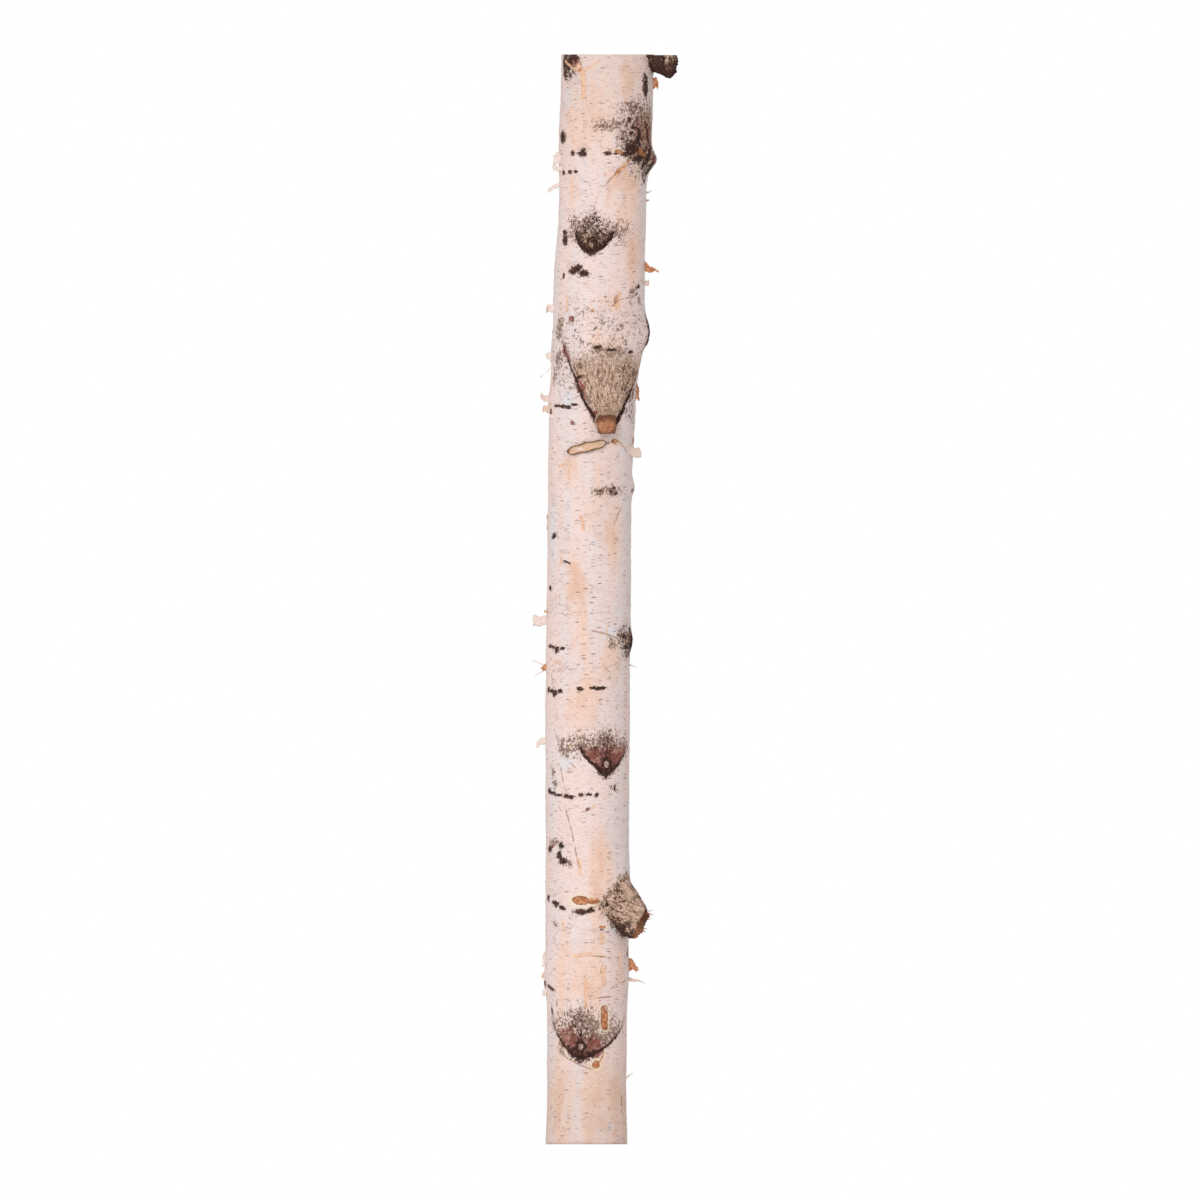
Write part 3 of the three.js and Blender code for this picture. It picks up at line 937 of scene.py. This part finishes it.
def splinters(dice, middle, way, right, up, radius, number=15):
    """Torn slivers of wood round the end of a broken stub."""
    for _ in range(number):
        angle = math.radians(dice.uniform(-40, 110))
        spoke = right * math.cos(angle) + up * math.sin(angle)
        spot = middle + spoke * radius * dice.uniform(0.5, 0.9) - way
        yield (spot, spoke, way, dice.uniform(4, 8.5), dice.uniform(1, 2.2), 0.05,
               dice.uniform(50, 95), dice.uniform(-25, 15), dice.uniform(-1, 1), 1.0)


def build_curls(paper, broken_end):
    """All the loose strips of bark and the splinters, as one piece."""
    dice = random.Random(7)
    points, faces = [], []
    layers = dict(inner=[], tint=[])
    count = 0
    for curl in [*on_bark_curls(dice), *splinters(dice, *broken_end)]:
        strip, strip_faces, strip_layers = curl_strip(*curl, dice)
        points.append(strip)
        faces += [tuple(i + count for i in face) for face in strip_faces]
        for name, values in strip_layers.items():
            layers[name] += values
        count += len(strip)
    layers["edge"] = [0.0] * count
    return make_object("bark_curls", np.concatenate(points), faces, [paper], **layers)


def build_flake(paper):
    """A long curled flake that lies across the trunk, its edges rolled up round a tan inside."""
    steps, lanes, thick = 36, 10, 0.6
    half_tall, middle, middle_turn, half_turn, climb = 4.4, 639.6, -6, 26, 4.2
    top, under, edge = [], [], []
    for i in range(steps + 1):
        s = 2 * i / steps - 1
        half = half_tall * (1 - abs(s) ** 3.2) ** 0.6 + 0.12
        for lane in range(lanes + 1):
            t = 2 * lane / lanes - 1
            height = middle + climb * s + half * t + 0.4 * math.sin(9 * s + 2 * t)
            turn = middle_turn + half_turn * s
            lift = 0.7 + 2.3 * abs(t) ** 2.4 + 0.5 * math.sin(5 * s)
            reach = float(bark_radius(np.array(height), np.array(turn))) + lift
            top.append(on_log(height, turn, reach))
            under.append(on_log(height, turn, reach - thick))
            edge.append(max(abs(t) ** 3, abs(s) ** 12))
    count = len(top)
    layers = dict(inner=[0.7] * count + [0.1] * count, tint=[0.35] * 2 * count,
                  edge=edge + [1.0] * count)
    faces = sheet_faces(steps, lanes, turned=True)
    return make_object("curled_flake", np.array(top + under), faces, [paper], **layers)


# ---------------------------------------------------------------- materials

# Colours as sRGB, 0 to 255. First the bark.
LAVENDER = (232, 220, 219)
CREAM = (241, 218, 211)
PEACH = (243, 207, 188)
PEACH_DEEP = (228, 180, 152)
BLUE_WHITE = (224, 226, 232)
SMUDGE = (228, 194, 180)
MOTTLE = (209, 182, 174)
GRAIN = (198, 168, 158)
TORN_EDGE = (205, 150, 118)
CRACK = (168, 112, 84)
FLECK = (146, 116, 104)
FLECK_LIGHT = (184, 148, 132)
SPECK = (160, 118, 100)
CRUST_LIGHT = (208, 182, 170)
CRUST_DARK = (170, 138, 120)
CRUST_DEEP = (76, 54, 45)
CRUST_GREY = (126, 98, 82)
BARK_PALE = (219, 190, 170)
BARK_BROWN = (182, 143, 118)
BARK_DEEP = (98, 66, 60)
BARK_GREEN = (166, 148, 112)
RUST_PALE = (204, 156, 142)
RUST_LIGHT = (150, 76, 67)
RUST_DEEP = (72, 28, 30)
BLACK_BROWN = (68, 37, 28)
SOOT = (24, 13, 11)
SOOT_GREY = (142, 104, 86)
SOOT_PALE = (150, 108, 84)
SOOT_RED = (104, 58, 40)
AMBER_LIGHT = (216, 146, 98)
AMBER_DEEP = (168, 96, 56)
AMBER_RIM = (112, 62, 40)
YELLOWED = (238, 222, 190)
HONEY_LIGHT = (244, 200, 160)
HONEY_DEEP = (226, 166, 124)
# painted shade laid over the foot and the top of the trunk
PAINTED_END_SHADE = (196, 170, 154)

# The sawn ends, from the pale early wood to the skin at the rim.
WOOD_PALE = (232, 206, 168)
WOOD_RING = (203, 162, 116)
WOOD_HEART = (176, 120, 82)
WOOD_GRAIN = (168, 122, 84)
SAW_MARK = (150, 110, 80)
INNER_BARK = (150, 88, 58)
RIM_SKIN = (228, 212, 202)

# The weathered ends of the stubs.
OLD_DEEP = (150, 92, 62)
OLD_LIGHT = (206, 146, 108)
OLD_PATCH = (188, 124, 84)
OLD_CHECK = (98, 58, 40)
OLD_STAIN_AND_SHADE = (92, 50, 34)
# stains, and painted shade on the upper part of a stub's end
OLD_RIM = (112, 72, 52)

# Loose paper bark: its white outside, its tan lining and its orange inner layers.
PAPER_WHITE = (238, 224, 216)
PAPER_SHADE = (226, 200, 186)
LINING_LIGHT = (232, 200, 172)
LINING_DEEP = (206, 160, 124)
ORANGE_DEEP = (176, 106, 66)
ORANGE_LIGHT = (220, 160, 118)
PAPER_EDGE = (104, 72, 46)

FLOOR_DIM = (250, 250, 250)
FLOOR_LIGHT = (252, 252, 252)


def linear(colour):
    """An sRGB colour as the linear one that a shader takes."""
    shares = [c / 255 for c in colour]
    return tuple(c / 12.92 if c <= 0.04045 else ((c + 0.055) / 1.055) ** 2.4 for c in shares) + (1.0,)


class Nodes:
    """Makes and links the nodes of one material, which is painted layer over layer."""

    def __init__(self, name):
        self.material = bpy.data.materials.new(name)
        self.material.use_nodes = True
        self.tree = self.material.node_tree
        self.tree.nodes.clear()
        self.place = self.add("TexCoord").outputs["Object"]
        self.even = self.scaled(1, 1, 1)
        self.colour = None

    def add(self, kind, **settings):
        node = self.tree.nodes.new("ShaderNode" + kind)
        for name, value in settings.items():
            setattr(node, name, value)
        return node

    def put(self, socket, value):
        """Links an output to a socket, or sets the socket's own value."""
        if isinstance(value, bpy.types.NodeSocket):
            self.tree.links.new(value, socket)
        else:
            socket.default_value = value

    def layer(self, name):
        return self.add("Attribute", attribute_name=name).outputs["Fac"]

    def scaled(self, x, y, z):
        """The place in mm, times a factor along each axis."""
        node = self.add("Mapping")
        self.put(node.inputs["Vector"], self.place)
        node.inputs["Scale"].default_value = (x / MM, y / MM, z / MM)
        return node.outputs["Vector"]

    def vector(self, x, y, z):
        node = self.add("CombineXYZ")
        for socket, value in zip(node.inputs, (x, y, z)):
            self.put(socket, value)
        return node.outputs["Vector"]

    def noise(self, vector, scale, detail=3.0, distortion=0.0):
        node = self.add("TexNoise")
        self.put(node.inputs["Vector"], vector)
        node.inputs["Scale"].default_value = scale
        node.inputs["Detail"].default_value = detail
        node.inputs["Distortion"].default_value = distortion
        return node.outputs["Fac"]

    def math(self, operation, a, b=0.0, c=0.0):
        node = self.add("Math", operation=operation)
        for socket, value in zip(node.inputs, (a, b, c)):
            self.put(socket, value)
        return node.outputs["Value"]

    def plus(self, a, b):
        return self.math("ADD", a, b)

    def minus(self, a, b):
        return self.math("SUBTRACT", a, b)

    def times(self, a, b):
        return self.math("MULTIPLY", a, b)

    def times_plus(self, a, b, c):
        return self.math("MULTIPLY_ADD", a, b, c)

    def ramp(self, value, low, high, start=0.0, end=1.0):
        """start at low, end at high, smooth between."""
        node = self.add("MapRange", interpolation_type="SMOOTHSTEP")
        for name, given in zip(("Value", "From Min", "From Max", "To Min", "To Max"),
                               (value, low, high, start, end)):
            self.put(node.inputs[name], given)
        return node.outputs["Result"]

    def mix(self, share, a, b):
        node = self.add("Mix", data_type="RGBA")
        self.put(node.inputs["Factor"], share)
        first, second = (socket for socket in node.inputs if socket.type == "RGBA")
        self.put(first, linear(a) if isinstance(a, tuple) else a)
        self.put(second, linear(b) if isinstance(b, tuple) else b)
        return next(socket for socket in node.outputs if socket.type == "RGBA")

    def paint(self, share, tone):
        """Lays a share of a colour over what is there."""
        self.colour = self.mix(share, self.colour, tone)

    def wash(self, value, low, high, share, tone):
        """Lays a colour where a value is above low, and its full share above high."""
        self.paint(self.ramp(value, low, high, 0.0, share), tone)

    def flecks(self, cell, flatness, keep, size):
        """Short level dashes: one in each kept cell of a flattened Voronoi pattern."""
        voronoi = self.add("TexVoronoi")
        self.put(voronoi.inputs["Vector"], self.scaled(1, 1, flatness))
        voronoi.inputs["Scale"].default_value = 1 / cell
        split = self.add("SeparateColor")
        self.put(split.inputs["Color"], voronoi.outputs["Color"])
        choice, length, tone = split.outputs
        kept = self.ramp(choice, 1 - keep, 1 - keep + 0.02)
        reach = self.times_plus(length, size * 0.55, size * 0.45)
        inside = self.minus(reach, voronoi.outputs["Distance"])
        return self.times(self.ramp(inside, 0.0, 0.07), kept), tone

    def finish(self, roughness, height, depth):
        """The shader, with a relief whose height, times depth, is in mm."""
        bump = self.add("Bump")
        bump.inputs["Distance"].default_value = depth * MM
        self.put(bump.inputs["Height"], height)
        shader = self.add("BsdfPrincipled")
        self.put(shader.inputs["Base Color"], self.colour)
        self.put(shader.inputs["Roughness"], roughness)
        self.put(shader.inputs["Normal"], bump.outputs["Normal"])
        shader.inputs["Specular IOR Level"].default_value = 0.3
        output = self.add("OutputMaterial")
        self.tree.links.new(shader.outputs["BSDF"], output.inputs["Surface"])
        return self.material


class Bark(Nodes):
    """The birch bark, painted from its white skin to what has broken through it."""

    def __init__(self):
        super().__init__("birch_bark")
        self.tall = self.scaled(1, 1, 0.16)
        self.flat = self.scaled(1, 1, 4.0)
        self.fine = self.noise(self.even, 0.55, 4)
        self.ragged = self.minus(self.noise(self.even, 0.34, 5), 0.5)
        self.scatter = self.minus(self.noise(self.even, 0.12, 5, 1.0), 0.5)

    def white_skin(self):
        """Papery skin from lavender to cream, with warm and clean patches, smudges and grain."""
        warm = self.ramp(self.noise(self.tall, 0.04, 4, 0.5), 0.36, 0.6)
        self.colour = self.mix(warm, LAVENDER, CREAM)
        peach = self.ramp(self.layer("peach"), -0.5, 0.6, 0.0, 0.24)
        self.wash(self.plus(self.noise(self.tall, 0.06, 5, 0.6), peach), 0.54, 0.86, 0.9, PEACH)
        warm_patch = self.plus(self.noise(self.scaled(1, 1, 0.5), 0.06, 5, 0.8), peach)
        self.wash(warm_patch, 0.7, 0.92, 0.65, PEACH_DEEP)
        self.wash(self.times_plus(self.ragged, 1.6, self.layer("pale")), 0.0, 0.7, 0.8, BLUE_WHITE)
        self.wash(self.noise(self.scaled(1, 1, 2.2), 0.09, 5, 0.8), 0.52, 0.76, 0.6, SMUDGE)
        self.wash(self.noise(self.flat, 0.2, 6), 0.44, 0.72, 0.45, MOTTLE)
        self.wash(self.noise(self.flat, 0.7, 5), 0.52, 0.72, 0.5, GRAIN)

    def painted_end_shade(self):
        """Painted shade: the foot, which the floor's bounce light brightens, and the top are a little
        darker.
        """
        split = self.add("SeparateXYZ")
        self.put(split.inputs[0], self.place)
        height = self.times_plus(self.ragged, 0.05, split.outputs[2])
        foot = self.ramp(height, 0.0, 0.16, 0.36, 0.0)
        top = self.ramp(height, 0.88, 1.0, 0.0, 0.25)
        # painted shade, strongest at the foot and rising again at the top
        self.paint(self.plus(foot, top), PAINTED_END_SHADE)

    def lenticels(self):
        """Level dashes and smaller dots, light and dark."""
        self.dash, dash_tone = self.flecks(7.4, 4.6, 0.46, 0.38)
        dot, dot_tone = self.flecks(3.6, 1.8, 0.2, 0.27)
        tone = self.mix(self.ramp(self.noise(self.even, 0.07, 2), 0.4, 0.6), FLECK_LIGHT, FLECK)
        self.paint(self.times(self.dash, self.ramp(dash_tone, 0.0, 1.0, 0.25, 0.95)), tone)
        self.paint(self.times(dot, self.ramp(dot_tone, 0, 1, 0.2, 0.85)), SPECK)

    def torn_edges(self):
        """Torn paper edges, which follow contours of a slow pattern, and hairline cracks."""
        slow = self.noise(self.scaled(1, 1, 1.6), 0.03, 4, 0.8)
        contour = self.math("ABSOLUTE", self.minus(slow, 0.5))
        patchy = self.ramp(self.noise(self.even, 0.05, 2), 0.5, 0.6)
        self.edge = self.times(self.ramp(contour, 0.0015, 0.007, 1.0, 0.0), patchy)
        self.paint(self.times(self.edge, 0.5), TORN_EDGE)
        near = self.ramp(self.layer("near"), 0.6, 0.8)
        gap = self.times_plus(self.ragged, 1.1, self.math("ABSOLUTE", self.layer("crack")))
        self.broken_up = self.ramp(self.noise(self.even, 0.12, 3), 0.36, 0.58, 0.15, 1.0)
        line = self.ramp(gap, 0.2, 0.85, 1.0, 0.0)
        self.hairline = self.times(line, self.times(near, self.broken_up))
        self.paint(self.times(self.hairline, 0.7), CRACK)

    def grey_crust(self):
        """Speckled grey crusts."""
        patchwork = self.times_plus(self.scatter, 1.8, self.layer("grey"))
        wiry = self.noise(self.scaled(1, 1, 0.75), 0.56, 5, 0.4)
        speckle = self.times_plus(self.ramp(patchwork, -0.1, 1.0), 0.19, wiry)
        self.speckle = self.times(self.ramp(speckle, 0.58, 0.68), self.ramp(patchwork, -0.25, 0.4))
        share = self.times_plus(self.minus(wiry, 0.5), 1.6, patchwork)
        self.wash(share, -0.1, 0.8, 0.8, self.mix(self.ramp(wiry, 0.42, 0.6), CRUST_LIGHT, CRUST_DARK))
        tone = self.mix(self.ramp(self.fine, 0.38, 0.6), CRUST_DEEP, CRUST_GREY)
        self.paint(self.times(self.speckle, 0.7), tone)

    def old_bark(self):
        """Old fibrous bark, whose fibres follow the strand and along layers."""
        drift = self.times(self.noise(self.even, 0.08, 3), 2.4)
        place = self.vector(self.plus(self.layer("strand"), drift), self.layer("along"), 0.0)
        self.fibre = self.noise(place, 1.0, 5)
        self.scurf = self.noise(self.even, 0.6, 5, 0.4)
        threads = self.times_plus(self.scurf, 0.9, self.times_plus(self.fibre, 0.9, -0.9))
        layer = self.plus(self.layer("rough"), self.times_plus(self.ragged, 0.5, threads))
        self.rough = self.ramp(layer, -0.05, 0.75)
        clumps = self.noise(self.even, 0.2, 5, 0.8)
        matted = self.times_plus(clumps, 0.3, self.times(self.fibre, 0.7))
        tone = self.mix(self.ramp(matted, 0.37, 0.54), BARK_DEEP, BARK_BROWN)
        worn = self.times_plus(self.scurf, 0.75, self.times(matted, 0.75))
        tone = self.mix(self.ramp(worn, 0.7, 0.86), tone, BARK_PALE)
        mossy = self.ramp(self.noise(self.even, 0.09, 3), 0.5, 0.68, 0.0, 0.35)
        self.paint(self.times(self.rough, 0.92), self.mix(mossy, tone, BARK_GREEN))

    def rust(self):
        """Red-brown scars, washed paler in places."""
        rust = self.ramp(self.times_plus(self.ragged, 2.0, self.layer("rust")), 0.0, 0.45)
        tone = self.mix(self.ramp(self.fibre, 0.4, 0.55), RUST_DEEP, RUST_LIGHT)
        washed = self.times_plus(self.noise(self.even, 0.14, 3), 0.8, self.times(self.scurf, 0.4))
        tone = self.mix(self.ramp(washed, 0.62, 0.76, 0.0, 0.7), tone, RUST_PALE)
        self.paint(self.times(rust, 0.9), tone)

    def soot(self):
        """Black-brown bars and creases with frayed, greyish edges."""
        frayed = self.minus(self.noise(self.even, 0.85, 4), 0.5)
        layer = self.times_plus(self.ragged, 1.8, self.layer("dark"))
        layer = self.times_plus(frayed, 1.7, layer)
        self.dark = self.ramp(layer, -0.04, 0.22)
        self.wash(self.times_plus(frayed, 1.4, layer), -0.4, 0.1, 0.42, SOOT_GREY)
        tone = self.mix(self.ramp(self.fine, 0.4, 0.58), SOOT, BLACK_BROWN)
        tone = self.mix(self.ramp(self.scurf, 0.5, 0.66, 0.0, 0.6), tone, SOOT_RED)
        spots = self.ramp(self.noise(self.even, 0.6, 4, 0.6), 0.56, 0.66)
        tone = self.mix(self.times(spots, self.ramp(layer, 0.0, 1.0, 0.6, 0.25)), tone, SOOT_PALE)
        self.paint(self.times(self.dark, 0.97), tone)

    def thin_skin(self):
        """Honey streaks where only the outermost paper has gone, with a broken rim."""
        layer = self.times_plus(self.scatter, 2.0, self.layer("honey"))
        patches = self.ramp(self.noise(self.even, 0.4, 5, 0.6), 0.42, 0.62)
        self.wash(layer, -0.1, 0.4, 0.7, self.mix(patches, HONEY_LIGHT, HONEY_DEEP))
        rim = self.times(self.ramp(layer, 0.0, 0.12), self.ramp(layer, 0.12, 0.3, 0.6, 0.0))
        self.paint(self.times(rim, self.broken_up), CRACK)

    def open_bark(self):
        """Orange inner bark with a dark rim, and a yellowed margin where the skin is bright."""
        layer = self.times_plus(self.ragged, 0.8, self.layer("amber"))
        self.amber = self.ramp(layer, 0.0, 0.16)
        patches = self.ramp(self.noise(self.even, 0.25, 5, 0.8), 0.4, 0.6)
        tone = self.mix(patches, AMBER_DEEP, AMBER_LIGHT)
        tone = self.mix(self.ramp(layer, 0.05, 0.45, 0.8, 0.0), tone, AMBER_RIM)
        bright = self.minus(1.0, self.math("MAXIMUM", self.dark, self.rough))
        self.paint(self.times(self.ramp(layer, -0.7, -0.1, 0.0, 0.6), bright), YELLOWED)
        self.paint(self.times(self.amber, 0.95), tone)

    def relief(self):
        """The relief in mm: what each pattern adds to the skin's own grain."""
        height = self.times(self.noise(self.flat, 0.4, 6), 0.32)
        lifts = [
            (self.dash, -0.16), (self.edge, 0.2), (self.hairline, -0.5), (self.speckle, 0.35),
            (self.times(self.fibre, self.rough), 1.0), (self.times(self.fine, self.dark), 1.0),
            (self.amber, -0.45),
        ]
        for pattern, lift in lifts:
            height = self.times_plus(pattern, lift, height)
        return height


def bark_material():
    """White birch skin with its flecks, crusts, scars, cracks and open inner bark."""
    n = Bark()
    for paint_on in (n.white_skin, n.painted_end_shade, n.lenticels, n.torn_edges, n.grey_crust, n.old_bark,
                     n.rust, n.soot, n.thin_skin, n.open_bark):
        paint_on()
    coarse = n.noise(n.even, 0.16, 4)
    rugged = n.math("MAXIMUM", n.math("MAXIMUM", n.dark, n.rough), n.times(n.speckle, 0.8))
    roughness = n.ramp(n.times_plus(coarse, 0.3, rugged), 0.0, 1.2, 0.56, 0.92)
    return n.finish(roughness, n.relief(), 1.0)


def sawn_material():
    """The sawn end: cream wood with growth rings, a darker heart, saw marks and its bark."""
    n = Nodes("sawn_wood")
    rim = n.layer("rim")
    wander = n.times(n.noise(n.even, 0.05, 2), 5.0)
    rings = n.noise(n.vector(n.plus(rim, wander), 0.0, 0.0), 0.42, 2)
    n.colour = n.mix(n.ramp(rings, 0.35, 0.68), WOOD_PALE, WOOD_RING)
    n.wash(n.times_plus(wander, 0.8, rim), 20, 38, 0.55, WOOD_HEART)
    grain = n.noise(n.even, 1.6, 5)
    n.wash(grain, 0.45, 0.75, 0.45, WOOD_GRAIN)
    marks = n.noise(n.scaled(0.03, 1, 1), 0.9, 3)
    n.wash(marks, 0.5, 0.7, 0.28, SAW_MARK)
    n.paint(n.ramp(n.times_plus(grain, 0.8, rim), 3.2, 3.9, 1.0, 0.0), INNER_BARK)
    n.paint(n.ramp(n.times_plus(grain, 0.5, rim), 1.0, 1.4, 1.0, 0.0), RIM_SKIN)
    height = n.times_plus(marks, 0.5, n.times(grain, 0.4))
    return n.finish(n.ramp(grain, 0.3, 0.7, 0.68, 0.85), height, 0.6)


def old_wood_material():
    """The weathered end of a stub: orange-brown wood with checks, stains, painted shade towards its
    top and a darker rim.
    """
    n = Nodes("old_wood")
    grain = n.noise(n.even, 0.7, 5, 0.8)
    patch = n.noise(n.even, 0.16, 3)
    checks = n.noise(n.scaled(1, 1, 0.2), 1.1, 4)
    n.colour = n.mix(n.ramp(grain, 0.34, 0.64), OLD_DEEP, OLD_LIGHT)
    n.wash(patch, 0.42, 0.66, 0.4, OLD_PATCH)
    n.wash(checks, 0.58, 0.7, 0.75, OLD_CHECK)
    # stains in patches, more on a broken end, and painted shade that darkens the end towards its top
    stain_and_shade = n.times_plus(grain, 1.6, n.times_plus(patch, 1.2, n.layer("shade")))
    n.wash(stain_and_shade, 1.4, 2.2, 0.9, OLD_STAIN_AND_SHADE)
    n.paint(n.ramp(n.times_plus(grain, 2.0, n.layer("rim")), 1.2, 3.2, 0.85, 0.0), OLD_RIM)
    height = n.times_plus(checks, -0.5, n.times(grain, 0.6))
    return n.finish(n.ramp(grain, 0.3, 0.7, 0.7, 0.9), height, 1.0)


def paper_material():
    """Loose strips of birch skin, papery white outside and tan to orange inside."""
    n = Nodes("paper_bark")
    grain = n.noise(n.scaled(1, 1, 3), 0.5, 5)
    patches = n.noise(n.even, 0.5, 4)
    fibres = n.ramp(grain, 0.4, 0.65)
    papery = n.mix(fibres, PAPER_WHITE, PAPER_SHADE)
    lining = n.mix(fibres, LINING_LIGHT, LINING_DEEP)
    n.colour = n.mix(n.ramp(n.layer("inner"), 0.3, 0.7), papery, lining)
    orange = n.mix(n.ramp(patches, 0.38, 0.6), ORANGE_DEEP, ORANGE_LIGHT)
    n.paint(n.ramp(n.layer("tint"), 0.3, 0.9), orange)
    dash, tone = n.flecks(6.0, 4.0, 0.3, 0.3)
    n.paint(n.times(dash, n.ramp(tone, 0, 1, 0.2, 0.7)), FLECK)
    n.wash(n.times_plus(patches, 0.5, n.layer("edge")), 0.46, 0.8, 0.9, PAPER_EDGE)
    return n.finish(n.ramp(grain, 0.3, 0.7, 0.55, 0.75), grain, 0.3)


# ---------------------------------------------------------------- the studio

FLOOR_RADIUS = 60 / MM
FLOOR_SIDES = 96
SKY_COLOUR = (1.0, 0.985, 0.975, 1.0)
WHITE = (1.0, 1.0, 1.0, 1.0)
SKY_STRENGTH = 0.62
SUN_STRENGTH = 1.36
SUN_SPREAD = 25
SUN_WAY = (0.33, 0.9, -0.42)
VIEW_TALL = 1.101     # the view's height, and the height of its middle, in log lengths
VIEW_UP = 0.4994
VIEW_ACROSS = 12.4    # mm from the middle of the foot
VIEW_BACK = 3.0       # m in front of the log


def build_floor():
    """A wide pale floor."""
    n = Nodes("pale_floor")
    tone = n.noise(n.even, 0.004, 2)
    n.colour = n.mix(n.ramp(tone, 0.3, 0.7), FLOOR_DIM, FLOOR_LIGHT)
    n.finish(0.9, tone, 0.1)
    angles = 2 * math.pi * np.arange(FLOOR_SIDES) / FLOOR_SIDES
    ring = FLOOR_RADIUS * np.stack([np.cos(angles), np.sin(angles), 0 * angles], axis=-1)
    floor = make_object("floor", ring, [tuple(range(FLOOR_SIDES))], [n.material], flat=[True])


def light_sky():
    """A soft even sky that the camera itself sees as plain white."""
    world = bpy.data.worlds.new("sky")
    world.use_nodes = True
    tree = world.node_tree
    sky = tree.nodes["Background"]
    sky.inputs["Color"].default_value = SKY_COLOUR
    sky.inputs["Strength"].default_value = SKY_STRENGTH
    seen = tree.nodes.new("ShaderNodeBackground")
    seen.inputs["Color"].default_value = WHITE
    path = tree.nodes.new("ShaderNodeLightPath")
    mix = tree.nodes.new("ShaderNodeMixShader")
    tree.links.new(path.outputs["Is Camera Ray"], mix.inputs[0])
    tree.links.new(sky.outputs[0], mix.inputs[1])
    tree.links.new(seen.outputs[0], mix.inputs[2])
    tree.links.new(mix.outputs[0], tree.nodes["World Output"].inputs["Surface"])
    bpy.context.scene.world = world


def light_key():
    """One large soft light from the front left."""
    light = bpy.data.lights.new("key", "SUN")
    light.energy = SUN_STRENGTH
    light.angle = math.radians(SUN_SPREAD)
    key = bpy.data.objects.new("key", light)
    key.rotation_euler = Vector(SUN_WAY).to_track_quat("-Z", "Y").to_euler()
    bpy.context.scene.collection.objects.link(key)


def place_camera():
    """Level with the log's middle and square to its front, with a parallel view."""
    camera = bpy.data.cameras.new("camera")
    camera.type = "ORTHO"
    camera.ortho_scale = VIEW_TALL * LENGTH * MM
    camera.clip_end = 200
    stand = bpy.data.objects.new("camera", camera)
    stand.location = (VIEW_ACROSS * MM, -VIEW_BACK, VIEW_UP * LENGTH * MM)
    stand.rotation_euler = (math.pi / 2, 0, 0)
    bpy.context.scene.collection.objects.link(stand)
    bpy.context.scene.camera = stand
    bpy.context.scene.view_settings.view_transform = "Standard"


place_camera()
build_floor()
light_sky()
light_key()
BARK = bark_material()
OLD_WOOD = old_wood_material()
PAPER = paper_material()
hand_over(build_trunk(paint_skin(), BARK, sawn_material()))
ends = [build_stub(BARK, OLD_WOOD, **stub) for stub in STUBS]
for piece, *_ in ends:
    hand_over(piece)
hand_over(build_curls(PAPER, ends[0][1:]))
hand_over(build_flake(PAPER))
